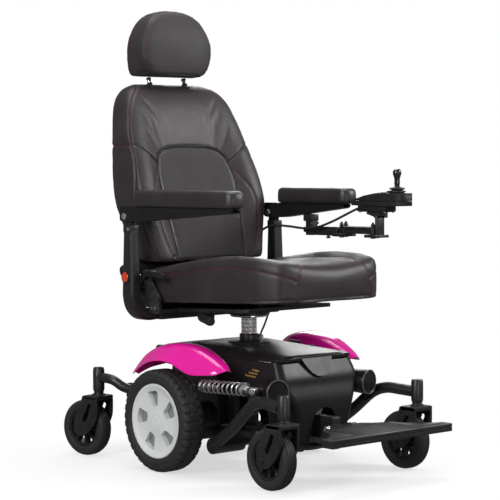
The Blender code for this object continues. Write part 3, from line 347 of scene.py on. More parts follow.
MATERIALS = {
    "frame_black": dict(colour=(0.015, 0.013, 0.014), rough=0.36, grain=paint_grain, depth=0.0002,
                        strength=0.25, wear=(0.05, 0.05, 0.05), dust=0.006),
    "gloss_black": dict(colour=(0.008, 0.008, 0.009), rough=0.13, coat=0.6, drift=0.2, dust=0.002,
                        wear=(0.03, 0.03, 0.03)),
    "moulded_black": dict(colour=(0.015, 0.013, 0.0135), rough=0.52, shine=0.25,
                          grain=pebble_grain, strength=0.3, wear=(0.05, 0.05, 0.05), dust=0.006),
    "motor_case": dict(colour=(0.02, 0.02, 0.022), rough=0.4, metallic=0.3, grain=paint_grain,
                       strength=0.4),
    "grey_plastic": dict(colour=(0.050, 0.050, 0.053), rough=0.42, grain=pebble_grain,
                         strength=0.25, wear=(0.10, 0.10, 0.10)),
    "tyre_rubber": dict(colour=(0.017, 0.017, 0.018), rough=0.68, grain=rubber_grain,
                        depth=0.0004, strength=0.5, dust=0.02),
    "wheel_cap": dict(colour=(0.78, 0.80, 0.795), rough=0.33, grain=paint_grain, strength=0.2,
                      drift=0.03, coat=0.25),
    "magenta_gloss": dict(colour=(0.88, 0.010, 0.37), rough=0.16, coat=0.9, drift=0.05,
                          grain=paint_grain, strength=0.06),
    "chrome": dict(colour=(0.80, 0.80, 0.81), rough=0.2, metallic=1.0, grain=brushed_grain,
                   depth=0.00005, strength=0.35, drift=0.1),
    "vinyl": dict(colour=(0.029, 0.023, 0.027), rough=0.37, shine=0.42, grain=leather_grain, depth=0.00022,
                  strength=0.5, drift=0.1, dust=0.006),
    "mesh_fabric": dict(colour=(0.027, 0.023, 0.025), rough=0.78, grain=mesh_grain,
                        depth=0.0003, strength=0.6, sheen=0.1),
    "matt_vinyl": dict(colour=(0.025, 0.0205, 0.023), rough=0.62, grain=leather_grain,
                       depth=0.0002, strength=0.4),
    "piping": dict(colour=(0.008, 0.008, 0.009), rough=0.7, grain=leather_grain, strength=0.3),
    "thread": dict(colour=(0.16, 0.012, 0.03), rough=0.6, grain=rubber_grain, strength=0.3),
    "arm_foam": dict(colour=(0.023, 0.019, 0.020), rough=0.42, grain=foam_grain, depth=0.0002,
                     strength=0.4, wear=(0.04, 0.04, 0.04)),
    "reflector": dict(colour=(0.75, 0.05, 0.008), rough=0.12, coat=0.8, grain=prism_grain,
                      depth=0.0006, strength=0.8),
    "cable_black": dict(colour=(0.014, 0.014, 0.014), rough=0.45, grain=rubber_grain,
                        strength=0.2),
    "battery_case": dict(colour=(0.03, 0.03, 0.035), rough=0.5, grain=pebble_grain, dust=0.01),
    "satin_black": dict(colour=(0.0125, 0.011, 0.012), rough=0.34, shine=0.22, drift=0.10,
                        grain=paint_grain, strength=0.10),
    "rubber_boot": dict(colour=(0.012, 0.012, 0.012), rough=0.55, grain=rubber_grain, strength=0.2),
    # painted shade: mid grey for the shade inside the wheel cover's pockets
    "recess_painted_shade": dict(colour=(0.24, 0.25, 0.25), rough=0.5, grain=pebble_grain, drift=0.06),
    # painted highlight: light grey for the light caught along the pods' rims
    "rim_painted_highlight": dict(colour=(0.12, 0.12, 0.125), rough=0.35, grain=paint_grain, strength=0.2),
    "lamp_green": dict(colour=(0.02, 0.35, 0.05), rough=0.2, coat=0.4, grain=paint_grain,
                       strength=0.1),
    "zinc": dict(colour=(0.80, 0.80, 0.81), rough=0.34, metallic=1.0, grain=rubber_grain,
                 depth=0.00005, strength=0.3, drift=0.08),
    "gold_print": dict(colour=(0.55, 0.36, 0.10), rough=0.3, metallic=0.6, grain=paint_grain,
                       strength=0.1),
}
MADE = {}


def finish(name):
    if name not in MADE:
        MADE[name] = material(name, **MATERIALS[name])
    return MADE[name]


# ---------------------------------------------------------------- shapes, as bmeshes in mm
def box(low, high, bevel=0.0, steps=2):
    """A box between two corners, its edges rounded by bevel."""
    low, high = Vector(low), Vector(high)
    bm = bmesh.new()
    bmesh.ops.create_cube(bm, size=1)
    size = Vector((abs(high[i] - low[i]) for i in range(3)))
    bmesh.ops.scale(bm, vec=size, verts=bm.verts)
    bmesh.ops.translate(bm, vec=(low + high) / 2, verts=bm.verts)
    if bevel:
        bmesh.ops.bevel(bm, geom=bm.edges[:], offset=bevel, segments=steps,
                        profile=0.5, affect="EDGES")
    return bm


def loft(rings, closed=False):
    """A surface through rings of equal point count; closed joins the last to the first."""
    bm = bmesh.new()
    loops = [[bm.verts.new(point) for point in ring] for ring in rings]
    count = len(loops[0])
    pairs = list(zip(loops, loops[1:] + loops[:1])) if closed else list(zip(loops, loops[1:]))
    for lower, upper in pairs:
        for i in range(count):
            j = (i + 1) % count
            bm.faces.new((lower[i], lower[j], upper[j], upper[i]))
    if not closed:
        bm.faces.new(list(reversed(loops[0])))
        bm.faces.new(loops[-1])
    bmesh.ops.recalc_face_normals(bm, faces=bm.faces)
    return bm


def prism(outline, start, end, axis="z"):
    """An outline, (x, y) for z, (y, z) for x or (x, z) for y, extruded along the axis."""
    def point(a, b, h):
        return {"z": (a, b, h), "x": (h, a, b), "y": (a, h, b)}[axis]
    return loft([[point(a, b, h) for a, b in outline] for h in (start, end)])


def turned(profile, centre, axis, segments):
    """A profile of (radius, distance along axis) spun once around; a profile that
    starts and ends off the axis is a closed ring."""
    axis = Vector(axis).normalized()
    first = Vector((0, -1, 0)) if abs(axis.z) > 0.9 else Vector((0, 0, -1))
    first = (first - axis * first.dot(axis)).normalized()
    second = axis.cross(first)
    centre = Vector(centre)
    bm = bmesh.new()
    rows = []
    for radius, along in profile:
        base = centre + axis * along
        if radius < 1e-6:
            rows.append([bm.verts.new(base)] * segments)
            continue
        rows.append([bm.verts.new(base + radius * (first * math.cos(a) + second * math.sin(a)))
                     for a in (2 * math.pi * k / segments for k in range(segments))])
    ring = profile[0][0] > 1e-6
    pairs = list(zip(rows, rows[1:] + rows[:1])) if ring else list(zip(rows, rows[1:]))
    for one, other in pairs:
        for i in range(segments):
            j = (i + 1) % segments
            corners = []
            for vert in (one[i], one[j], other[j], other[i]):
                if vert not in corners:
                    corners.append(vert)
            bm.faces.new(corners)
    bmesh.ops.recalc_face_normals(bm, faces=bm.faces)
    return bm


def rod(start, end, radius, segments=24, edge=0.0):
    """A round bar between two points, its ends chamfered by edge."""
    start, end = Vector(start), Vector(end)
    length = (end - start).length
    profile = [(0, 0), (radius - edge, 0), (radius, edge), (radius, length - edge),
               (radius - edge, length), (0, length)]
    if not edge:
        profile = [(0, 0), (radius, 0), (radius, length), (0, length)]
    return turned(profile, start, end - start, segments)


def smooth(points, steps):
    """Points along a Catmull-Rom curve through the given ones."""
    points = [Vector(p) for p in points]
    ends = [2 * points[0] - points[1]] + points + [2 * points[-1] - points[-2]]
    path = []
    for a, b, c, d in zip(ends, ends[1:], ends[2:], ends[3:]):
        for k in range(steps):
            t = k / steps
            path.append(0.5 * (2 * b + (c - a) * t + (2 * a - 5 * b + 4 * c - d) * t * t
                               + (3 * b - a - 3 * c + d) * t ** 3))
    return path + [points[-1]]


def even(points, spacing):
    """Points at an even spacing along a line of points."""
    lengths = [0.0]
    for a, b in zip(points, points[1:]):
        lengths.append(lengths[-1] + (b - a).length)
    count = max(2, int(round(lengths[-1] / spacing)) + 1)
    made = []
    k = 0
    for i in range(count):
        s = lengths[-1] * i / (count - 1)
        while k < len(lengths) - 2 and lengths[k + 1] < s:
            k += 1
        t = (s - lengths[k]) / max(lengths[k + 1] - lengths[k], 1e-9)
        made.append(points[k].lerp(points[k + 1], t))
    return made


def sweep(path, sections, side=(1, 0, 0)):
    """A section carried along a path; sections is one outline or one for each point."""
    path = [Vector(p) for p in path]
    if not isinstance(sections[0][0], (list, tuple)):
        sections = [sections] * len(path)
    side = Vector(side)
    rings = []
    for i, point in enumerate(path):
        ahead = (path[min(i + 1, len(path) - 1)] - path[max(i - 1, 0)]).normalized()
        across = (side - ahead * side.dot(ahead)).normalized()
        up = ahead.cross(across)
        rings.append([point + across * a + up * b for a, b in sections[i]])
        side = across
    return loft(rings)


def cross_rod(start, end, at, *shape):
    """A rod straight across the chair, from one x to another, level with a point."""
    return rod((start, at.y, at.z), (end, at.y, at.z), *shape)


def circle(radius, segments):
    return [(radius * math.cos(2 * math.pi * k / segments),
             radius * math.sin(2 * math.pi * k / segments)) for k in range(segments)]


def rounded(half_a, half_b, corner, steps=5, centre=(0, 0)):
    """A rectangle outline with round corners."""
    outline = []
    for quarter, (sa, sb) in enumerate(((1, 1), (-1, 1), (-1, -1), (1, -1))):
        for k in range(steps + 1):
            angle = math.pi / 2 * (quarter + k / steps)
            outline.append((centre[0] + sa * (half_a - corner) + corner * math.cos(angle),
                            centre[1] + sb * (half_b - corner) + corner * math.sin(angle)))
    return outline


def fillet(outline, radius, steps=4):
    """An outline with its corners rounded."""
    made = []
    count = len(outline)
    for i in range(count):
        before, at, after = (Vector(outline[(i + k) % count]) for k in (-1, 0, 1))
        reach = min(radius, (before - at).length * 0.45, (after - at).length * 0.45)
        one = at + (before - at).normalized() * reach
        two = at + (after - at).normalized() * reach
        for k in range(steps + 1):
            t = k / steps
            spot = one * (1 - t) ** 2 + at * 2 * t * (1 - t) + two * t * t
            made.append((spot.x, spot.y))
    return made


def mirrored(bm, side):
    """The bmesh as drawn for the left side, or its mirror image for the right."""
    if side == RIGHT:
        bmesh.ops.scale(bm, vec=(-1, 1, 1), verts=bm.verts)
        bmesh.ops.reverse_faces(bm, faces=bm.faces)
    return bm


def boolean(base, tools, operation):
    """base united with, cut by, or kept inside each tool in turn."""
    def holder(bm):
        mesh = bpy.data.meshes.new("shape")
        bm.to_mesh(mesh)
        bm.free()
        obj = bpy.data.objects.new("shape", mesh)
        bpy.context.scene.collection.objects.link(obj)
        return obj
    body = holder(base)
    others = [holder(tool) for tool in tools]
    for other in others:
        step = body.modifiers.new("step", "BOOLEAN")
        step.operation = operation
        step.solver = "EXACT"
        step.object = other
    result = bmesh.new()
    result.from_object(body, bpy.context.evaluated_depsgraph_get())
    for obj in [body] + others:
        mesh = obj.data
        bpy.data.objects.remove(obj, do_unlink=True)
        bpy.data.meshes.remove(mesh)
    bmesh.ops.dissolve_limit(result, angle_limit=math.radians(0.1), verts=result.verts,
                             edges=result.edges)
    return result


def joined(base, *tools):
    return boolean(base, tools, "UNION")


def cut(base, *tools):
    return boolean(base, tools, "DIFFERENCE")


def kept(base, *tools):
    return boolean(base, tools, "INTERSECT")


def merged(*parts):
    """Several closed shapes in one bmesh, left as they are where they touch."""
    whole = parts[0]
    for part in parts[1:]:
        mesh = bpy.data.meshes.new("part")
        part.to_mesh(mesh)
        part.free()
        whole.from_mesh(mesh)
        bpy.data.meshes.remove(mesh)
    return whole


# ---------------------------------------------------------------- placing
def world(point):
    """A point of the drawing in metres, in the row frame."""
    return Vector((point[0] * MM, (point[1] + AXLE_Y) * MM, point[2] * MM))


def in_frame(name, bm):
    """A mesh in metres, in the row frame, from a bmesh drawn in mm."""
    bmesh.ops.translate(bm, vec=(0, AXLE_Y, 0), verts=bm.verts)
    bmesh.ops.scale(bm, vec=(MM, MM, MM), verts=bm.verts)
    return mesh_of(name, bm)


def soften_edges(obj, width, sharp_angle):
    """Rounds the edges that are sharper than the angle, by a width in mm."""
    edge = obj.modifiers.new("soft_edges", "BEVEL")
    edge.width = width * MM
    edge.segments = 2
    edge.limit_method = "ANGLE"
    edge.angle_limit = math.radians(sharp_angle)
    edge.harden_normals = True


def piece(name, bm, surface, body, replaces=(), soften=0.0, flat_angle=35):
    """Makes a visible piece from a bmesh in mm; soften rounds its sharp edges by that much."""
    mesh = in_frame(name, bm)
    mesh.materials.append(finish(surface))
    mesh.shade_smooth()
    mesh.set_sharp_from_angle(angle=math.radians(flat_angle))
    obj = loose(name, mesh)
    if soften:
        soften_edges(obj, soften, flat_angle)
    if body:
        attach(obj, body)
    if replaces:
        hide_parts(*([replaces] if isinstance(replaces, str) else replaces))
    return obj


def dress(node, surface):
    """Gives a CAD node its finish and rounds its sharp edges."""
    obj = frame["nodes"][node]
    for index in range(len(obj.material_slots)):
        obj.material_slots[index].material = finish(surface)
    if not obj.material_slots:
        obj.data.materials.append(finish(surface))
    soften_edges(obj, 1.0, 32)


def dress_all():
    slots = {entry["node"]: entry["material_slot"] for entry in frame["record"]["subparts"]}
    for node in frame["nodes"]:
        dress(node, slots[node])


# ---------------------------------------------------------------- soft goods
def with_modifiers(obj):
    """The object's mesh as its modifiers leave it; the object is removed."""
    graph = bpy.context.evaluated_depsgraph_get()
    mesh = bpy.data.meshes.new_from_object(obj.evaluated_get(graph), depsgraph=graph)
    bpy.data.objects.remove(obj, do_unlink=True)
    return mesh


def coordinates(mesh):
    spots = np.empty(len(mesh.vertices) * 3)
    mesh.vertices.foreach_get("co", spots)
    return spots.reshape(-1, 3)


def put_coordinates(mesh, spots):
    mesh.vertices.foreach_set("co", spots.ravel())
    mesh.update()


def normals(mesh):
    made = np.empty(len(mesh.vertices) * 3)
    mesh.vertices.foreach_get("normal", made)
    return made.reshape(-1, 3)


def relaxed(mesh, rounds):
    """Evens out the steps that remeshing leaves."""
    bm = bmesh.new()
    bm.from_mesh(mesh)
    for _ in range(rounds):
        bmesh.ops.smooth_vert(bm, verts=bm.verts, factor=0.5, use_axis_x=True,
                              use_axis_y=True, use_axis_z=True)
    bm.to_mesh(mesh)
    bm.free()


def remeshed(bm, voxel, shrink):
    """A drawn solid as an even mesh in the row frame, drawn in by shrink."""
    obj = loose("blank", in_frame("blank", bm))
    step = obj.modifiers.new("even", "REMESH")
    step.mode = "VOXEL"
    step.voxel_size = voxel * MM
    mesh = with_modifiers(obj)
    relaxed(mesh, 4)
    put_coordinates(mesh, coordinates(mesh) - normals(mesh) * shrink * MM)
    return mesh


def tree_of(points):
    tree = KDTree(len(points))
    for index, point in enumerate(points):
        tree.insert(point, index)
    tree.balance()
    return tree


def distances(spots, tree):
    return np.array([tree.find(spot)[2] for spot in spots])


def swollen(mesh, held, pressure, cap):
    """The cover blown up like a filled cushion, held where held is above 0; no point
    moves further than cap."""
    obj = loose("swelling", mesh)
    group = obj.vertex_groups.new(name="held")
    for index in np.nonzero(held > 0.01)[0]:
        group.add([int(index)], float(held[index]), "REPLACE")
    cloth = obj.modifiers.new("cover", "CLOTH")
    setup = cloth.settings
    setup.quality = 4
    setup.mass = 0.3
    setup.tension_stiffness = setup.compression_stiffness = 18
    setup.shear_stiffness = 8
    setup.bending_stiffness = 1.5
    setup.use_pressure = True
    setup.uniform_pressure_force = pressure
    setup.effector_weights.gravity = 0
    setup.vertex_group_mass = "held"
    cloth.point_cache.frame_start = 1
    cloth.point_cache.frame_end = 20
    before = coordinates(mesh).copy()
    for step in range(1, 21):
        bpy.context.scene.frame_set(step)
    blown = with_modifiers(obj)
    bpy.context.scene.frame_set(1)
    move = coordinates(blown) - before
    reach = np.linalg.norm(move, axis=1, keepdims=True)
    move *= np.minimum(1, cap * MM / np.maximum(reach, 1e-9))
    put_coordinates(blown, before + move)
    return blown


def finer(mesh):
    obj = loose("finer", mesh)
    step = obj.modifiers.new("finer", "SUBSURF")
    step.levels = step.render_levels = 1
    return with_modifiers(obj)


def surface_of(mesh):
    return BVHTree.FromPolygons([v.co.copy() for v in mesh.vertices],
                                [p.vertices[:] for p in mesh.polygons])


def on_surface(surface, route, spacing=4.0):
    """Even points, with their normals, where a drawn route lies on a surface."""
    line = even([world(p) for p in smooth(route, 8)], spacing * MM)
    made = []
    for point in line:
        spot, normal, _, _ = surface.find_nearest(point)
        made.append((spot, normal))
    return made


def settled(line):
    """A line of points with its small kinks smoothed out; its ends stay."""
    line = [Vector(point) for point in line]
    for _ in range(6):
        middle = [(a + 2 * b + c) / 4 for a, b, c in zip(line, line[1:], line[2:])]
        line = [line[0]] + middle + [line[-1]]
    return line


def sewn(mesh, seams, depth, width, unevenness):
    """Presses channels along the seams, puckers the cover beside them and makes the
    rest slightly uneven."""
    surface = surface_of(mesh)
    spots = coordinates(mesh).copy()
    outward = normals(mesh).copy()
    points = [spot for route in seams for spot, _ in on_surface(surface, route, 3.0)]
    away = distances(spots, tree_of(points)) / MM
    drop = depth * np.exp(-(away / width) ** 2)
    pucker = np.array([noise.noise(Vector(s) * 95) for s in spots])
    broad = np.array([noise.noise(Vector(s) * 14) for s in spots])
    drop += pucker * 0.7 * np.exp(-(away / 16) ** 2)
    drop -= broad * unevenness
    put_coordinates(mesh, spots - outward * (drop[:, None] * MM))
    return mesh


def soft_piece(name, mesh, surface, body, replaces):
    mesh.materials.clear()
    mesh.materials.append(finish(surface))
    mesh.shade_smooth()
    obj = loose(name, mesh)
    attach(obj, body)
    if replaces:
        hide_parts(replaces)
    return obj


def tube(name, points, radius, surface, body):
    """A round cord through points given in metres."""
    curve = bpy.data.curves.new(name, "CURVE")
    curve.dimensions = "3D"
    curve.bevel_depth = radius * MM
    curve.bevel_resolution = 3
    curve.use_fill_caps = True
    spline = curve.splines.new("POLY")
    spline.points.add(len(points) - 1)
    for spot, point in zip(spline.points, points):
        spot.co = (*point, 1)
    spline.use_smooth = True
    curve.materials.append(finish(surface))
    obj = loose(name, curve)
    if body:
        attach(obj, body)
    return obj


def welt(name, surface, route, body, radius=2.0, lift=0.2):
    """Covered piping that lies in a seam."""
    line = settled([spot + normal * lift * MM for spot, normal in on_surface(surface, route)])
    return tube(name, line, radius, "piping", body)


def stitches(name, surface, routes, body, offset):
    """Rows of short thread stitches, offset sideways from the drawn routes."""
    bm = bmesh.new()
    for route in routes:
        line = on_surface(surface, route, 5.0)
        for (a, na), (b, _) in zip(line, line[1:]):
            ahead = b - a
            if ahead.length < 1e-5:
                continue
            ahead.normalize()
            for shift in offset:
                side = ahead.cross(na).normalized()
                middle = surface.find_nearest((a + b) / 2 + side * shift * MM)
                up = middle[1]
                centre = middle[0] + up * 0.25 * MM
                across = ahead.cross(up).normalized()
                rings = []
                for along, size in ((-1.9, 0.25), (-1.2, 0.55), (1.2, 0.55), (1.9, 0.25)):
                    drop = -0.35 if abs(along) > 1.5 else 0.1
                    mid = centre + ahead * along * MM + up * drop * MM
                    rings.append([bm.verts.new(mid + (across * math.cos(t) + up * math.sin(t))
                                               * size * MM)
                                  for t in (math.pi / 2 * k for k in range(4))])
                for one, other in zip(rings, rings[1:]):
                    for i in range(4):
                        bm.faces.new((one[i], one[(i + 1) % 4], other[(i + 1) % 4], other[i]))
                bm.faces.new(list(reversed(rings[0])))
                bm.faces.new(rings[-1])
    bmesh.ops.recalc_face_normals(bm, faces=bm.faces)
    mesh = mesh_of(name, bm)
    mesh.materials.append(finish("thread"))
    mesh.shade_smooth()
    obj = loose(name, mesh)
    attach(obj, body)


def held_along(mesh, seams, start, reach):
    """How firmly each point of a cover is held: along its seams, and on its underside."""
    surface = surface_of(mesh)
    points = [spot for route in seams for spot, _ in on_surface(surface, route)]
    away = distances(coordinates(mesh), tree_of(points)) / MM
    held = np.clip(start - away / reach, 0, 1)
    return np.maximum(held, np.clip(-normals(mesh)[:, 2] * 2 - 0.4, 0, 1))


def upholstered(mesh, held, cap, seams, depth, width, unevenness=0.6):
    """A blank blown up by no more than cap and then sewn along its seams."""
    mesh = swollen(mesh, held, 4.0, cap)
    relaxed(mesh, 2)
    return sewn(finer(mesh), seams, depth, width, unevenness)


def right_round(half):
    """A route that starts on the left and is carried on to its mirror image, with its last
    point in the middle."""
    return half + [(-x, y, z) for x, y, z in reversed(half[:-1])]


def smooth_loop(points):
    """Half an outline, from its front middle to its rear middle, as a smooth closed loop."""
    ring = points + [(-x, y) for x, y in reversed(points[1:-1])]
    return smooth([Vector((x, y, 0)) for x, y in ring + ring[:1]], 4)[:-1]


def both(route):
    """A route on the left side and its mirror image."""
    return [route, [(-x, y, z) for x, y, z in route]]


# height, half width, bolster front, middle front, rear
BACK_LEVELS = [
    (610, 206, 108, 128, 258), (622, 212, 100, 126, 263), (680, 227, 112, 139, 276),
    (742, 243, 124, 158, 288), (787, 256, 134, 172, 297), (857, 256, 156, 193, 311),
    (921, 249, 182, 214, 322), (986, 239, 211, 235, 334), (1058, 225, 241, 257, 351),
    (1112, 206, 266, 274, 362), (1146, 176, 288, 290, 365), (1164, 140, 316, 314, 352),
]
BACK_SEAMS = {
    "shoulder": [(150, 298, 1152), (165, 285, 1137), (173, 281, 1131), (200, 264, 1093),
                 (219, 252, 1050), (230, 242, 1012), (235, 231, 991), (237, 221, 974)],
    "flank": [(237, 221, 972), (242, 197, 923), (252, 183, 863), (254, 181, 823),
              (252, 172, 770), (238, 160, 710), (224, 148, 660), (208, 138, 618)],
    "belt": [(237, 222, 972), (240, 245, 971), (241, 279, 968), (239, 313, 966), (236, 328, 966)],
    "wing": [(141, 202, 919), (163, 200, 934), (188, 199, 953), (214, 207, 966), (237, 221, 973)],
    "lumbar": [(141, 202, 918), (150, 194, 899), (167, 176, 874), (191, 154, 838),
               (204, 140, 795), (201, 130, 745), (191, 120, 700), (174, 112, 656), (158, 108, 628)],
}
ARCH = [(-141, 202, 915), (-139, 206, 926), (-130, 214, 940), (-108, 224, 957), (-77, 227, 964),
        (-36, 228, 967), (0, 229, 968), (36, 228, 967), (77, 227, 964), (108, 224, 957),
        (130, 214, 940), (139, 206, 926), (141, 202, 915)]
INSERT_EDGE = [(141, 202, 915), (147, 193, 893), (151, 182, 862), (150, 166, 822), (147, 155, 780),
               (143, 142, 720), (139, 130, 660), (136, 126, 622)]


def back_ring(level):
    """One level of the backrest: bolsters standing ahead of the middle, round rear edge."""
    z, half, bolster, middle, rear = level
    right = [(0, middle), (0.42, middle - 1), (0.62, (middle + bolster) / 2), (0.78, bolster),
             (0.92, bolster + 3), (0.985, bolster + 16), (1.0, (bolster + rear) / 2),
             (0.985, rear - 16), (0.93, rear - 3), (0.6, rear)]
    points = [(half * share, y) for share, y in right] + [(0, rear)]
    return [(p.x, p.y, z) for p in smooth_loop(points)]


def backrest_cushion():
    """The wide backrest: puffed panels between its seams, a mesh middle edged with
    piping, and two rows of coloured thread."""
    levels = smooth([Vector(level) for level in BACK_LEVELS], 3)
    mesh = remeshed(loft([back_ring(level) for level in levels]), 6.0, 3.5)
    seams = [route for key in BACK_SEAMS for route in both(BACK_SEAMS[key])]
    seams += [ARCH] + both(INSERT_EDGE)
    rearward = np.clip((normals(mesh)[:, 1] - 0.35) * 2.5, 0, 1)
    held = np.maximum(held_along(mesh, seams, 1.25, 9), rearward)
    mesh = upholstered(mesh, held, 9.0, seams, 3.2, 4.5)
    surface = surface_of(mesh)
    soft_piece("backrest_cover", mesh, "vinyl", "backrest", "backrest_cushion")
    insert_panel(surface)
    welt("insert_piping", surface, ARCH, "backrest", 2.6, 0.6)
    for label, route in zip(("left", "right"), both(INSERT_EDGE)):
        welt(f"insert_edge_{label}", surface, route, "backrest", 1.8, 0.2)
    for label, route in zip(("left", "right"), both(BACK_SEAMS["wing"])):
        welt(f"wing_piping_{label}", surface, route, "backrest", 2.0, 0.3)
    rows = [r for key in ("shoulder", "flank", "belt", "lumbar") for r in both(BACK_SEAMS[key])]
    stitches("back_thread", surface, rows, "backrest", (-3.4, 3.4))


def insert_panel(surface):
    """The breathable mesh middle of the backrest, laid over its padding."""
    across, up = 44, 84
    edge = smooth([Vector(p) for p in INSERT_EDGE], 6)
    bm = bmesh.new()
    rows = []
    for j in range(up + 1):
        t = j / up
        row = []
        for i in range(across + 1):
            s = 2 * i / across - 1
            top = 967 - 52 * abs(s) ** 5 - 4 * s * s
            z = 622 + (top - 622) * t
            lower = min(edge, key=lambda p: abs(p.z - min(z, 915)))
            half = lower.x if z < 915 else 141 - max(0, (z - 915)) * 0.05
            x = s * half
            start = world((x, -200, z))
            hit, normal, _, _ = surface.ray_cast(start, Vector((0, 1, 0)))
            rim = min(1 - abs(s), 2.2 * (1 - t), 0.5) * 2
            lift = -1.5 + 4.5 * min(1, rim * 3) ** 0.7
            row.append(bm.verts.new(hit + normal * lift * MM))
        rows.append(row)
    for low, high in zip(rows, rows[1:]):
        for i in range(across):
            bm.faces.new((low[i], low[i + 1], high[i + 1], high[i]))
    inner = [vert for row in rows[1:-1] for vert in row[1:-1]]
    for _ in range(10):
        bmesh.ops.smooth_vert(bm, verts=inner, factor=0.5, use_axis_x=True, use_axis_y=True,
                              use_axis_z=True)
    bmesh.ops.recalc_face_normals(bm, faces=bm.faces)
    for face in bm.faces:
        if face.normal.y > 0:
            face.normal_flip()
    mesh = mesh_of("back_insert", bm)
    mesh.materials.append(finish("mesh_fabric"))
    mesh.shade_smooth()
    obj = loose("back_insert", mesh)
    body = obj.modifiers.new("body", "SOLIDIFY")
    body.thickness = 2 * MM
    body.offset = -1
    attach(obj, "backrest")


# height, share of the width at the back and at the face, share of the depth
HEAD_LEVELS = [(1183.3, 0.88, 0.70, 0.82), (1192, 0.94, 0.79, 0.92), (1212, 0.98, 0.90, 0.99),
               (1245, 1.0, 0.985, 1.0), (1290, 0.985, 0.985, 1.0), (1331, 0.865, 0.865, 0.94),
               (1360, 0.73, 0.73, 0.82), (1379, 0.57, 0.57, 0.66), (1389, 0.41, 0.41, 0.5),
               (1396, 0.18, 0.18, 0.28)]
HEAD_HALF, HEAD_DEPTH, HEAD_Y = 144.0, 56.0, 318.0


def head_ring(level):
    z, wide, face, deep = level
    depth = HEAD_DEPTH * deep
    middle = HEAD_Y + max(0, z - 1290) * 0.08
    front = [(0, -depth), (0.45, -depth * 0.99), (0.8, -depth * 0.93), (0.95, -depth * 0.78),
             (1.0, -depth * 0.3)]
    rear = [(0.985, depth * 0.7), (0.93, depth * 0.95), (0.7, depth)]
    points = ([(HEAD_HALF * face * share, y) for share, y in front]
              + [(HEAD_HALF * wide * share, y) for share, y in rear] + [(0, depth)])
    return [(p.x, middle + p.y, z) for p in smooth_loop(points)]


def headrest_cushion():
    """Domed pillow with a sewn side band."""
    levels = smooth([Vector(level) for level in HEAD_LEVELS], 3)
    mesh = remeshed(loft([head_ring(level) for level in levels]), 5.0, 2.5)
    front = [(HEAD_HALF * face * 0.955, HEAD_Y - HEAD_DEPTH * deep * 0.78, z)
             for z, _, face, deep in HEAD_LEVELS[1:-1]]
    hoop = right_round(front + [(0, HEAD_Y - 8, 1396)])
    rear = [(HEAD_HALF * wide * 0.985, HEAD_Y + HEAD_DEPTH * deep * 0.75, z)
            for z, wide, _, deep in HEAD_LEVELS[1:-1]]
    back_hoop = right_round(rear + [(0, HEAD_Y + 24, 1395)])
    foot = [(112, HEAD_Y + 38, 1191), (122, HEAD_Y - 8, 1191), (114, HEAD_Y - 26, 1191),
            (60, HEAD_Y - 48, 1190), (0, HEAD_Y - 52, 1190)]
    seams = [hoop, back_hoop, right_round(foot)]
    mesh = upholstered(mesh, held_along(mesh, seams, 1.25, 8), 6.0, seams, 1.8, 3.5, 0.4)
    surface = surface_of(mesh)
    soft_piece("headrest_cover", mesh, "matt_vinyl", "headrest", "headrest_cushion")
    stitches("head_thread", surface, [hoop, back_hoop], "headrest", (-3.0, 3.0))


# y, share of the width, bolster swell, top height
SEAT_STATIONS = [
    (-431, 0.62, 0, 588), (-427, 0.71, 0, 606), (-416, 0.81, 1, 621), (-398, 0.885, 4, 629),
    (-350, 0.96, 9, 631), (-300, 0.985, 15, 629), (-200, 1.0, 22, 622), (-80, 1.0, 20, 611),
    (20, 1.0, 14, 602), (90, 1.0, 5, 598), (150, 0.99, 0, 596), (172, 0.97, 0, 580),
]


def cushion_section(y, wide, swell, top):
    """Seat cushion across the chair: flat foot, dished middle and raised side bolsters."""
    half, foot = CUSHION_HALF * wide, 492.5 - 0.042 * y
    right = [(0, foot), (half * 0.93, foot), (half * 0.99, foot + 16), (half, foot + 60),
             (half * 0.985, top - 14 + swell * 0.6), (half * 0.93, top + swell),
             (half * 0.83, top + swell + 2), (half * 0.66, top + swell * 0.45), (half * 0.35, top - 4)]
    ring = ([Vector((x, z, 0)) for x, z in right] + [Vector((0, top - 6, 0))]
            + [Vector((-x, z, 0)) for x, z in reversed(right[1:])])
    fine = smooth(ring + ring[:1], 4)[:-1]
    return [(p.x, y, p.y) for p in fine]


def seat_cushion():
    """Captain-seat cushion: bolsters with a sewn ridge, a rolled front and side panels."""
    stations = smooth([Vector(station) for station in SEAT_STATIONS], 3)
    mesh = remeshed(loft([cushion_section(*station) for station in stations]), 6.0, 3.5)
    corner = [(144, -430, 512), (145, -430, 540), (141, -430, 572), (135, -428, 600),
              (126, -420, 619), (112, -400, 630)]
    ridge = [(141, -430, 574), (178, -414, 588), (207, -380, 598), (224, -330, 606),
             (229, -270, 611), (230, -200, 610), (230, -120, 601), (230, -30, 591),
             (229, 50, 580), (226, 120, 570)]
    trough = [(112, -400, 630), (138, -350, 636), (144, -300, 640), (142, -200, 632),
              (140, -80, 620), (140, 20, 608), (142, 90, 600), (146, 150, 592)]
    foot = [(222, 150, 500), (229, 60, 503), (230, -80, 508), (230, -220, 514), (225, -340, 520),
            (204, -398, 522), (170, -424, 523), (90, -431, 523), (0, -431, 523)]
    seams = both(corner) + both(ridge) + both(trough) + [right_round(foot)]
    rearward = np.clip(normals(mesh)[:, 1] * 2 - 0.6, 0, 1)
    held = np.maximum(held_along(mesh, seams, 1.2, 9), rearward)
    mesh = upholstered(mesh, held, 9.0, seams, 1.8, 4.5, 0.9)
    surface = surface_of(mesh)
    soft_piece("seat_cover", mesh, "vinyl", "seat", "seat_cushion")
    tail = box((-219, 140, 472), (219, 230, 548), 14, 4)
    piece("seat_cover_tail", tail, "vinyl", "seat", ())
    stitches("seat_thread", surface, both(ridge) + both(corner), "seat", (-3.2, 3.2))


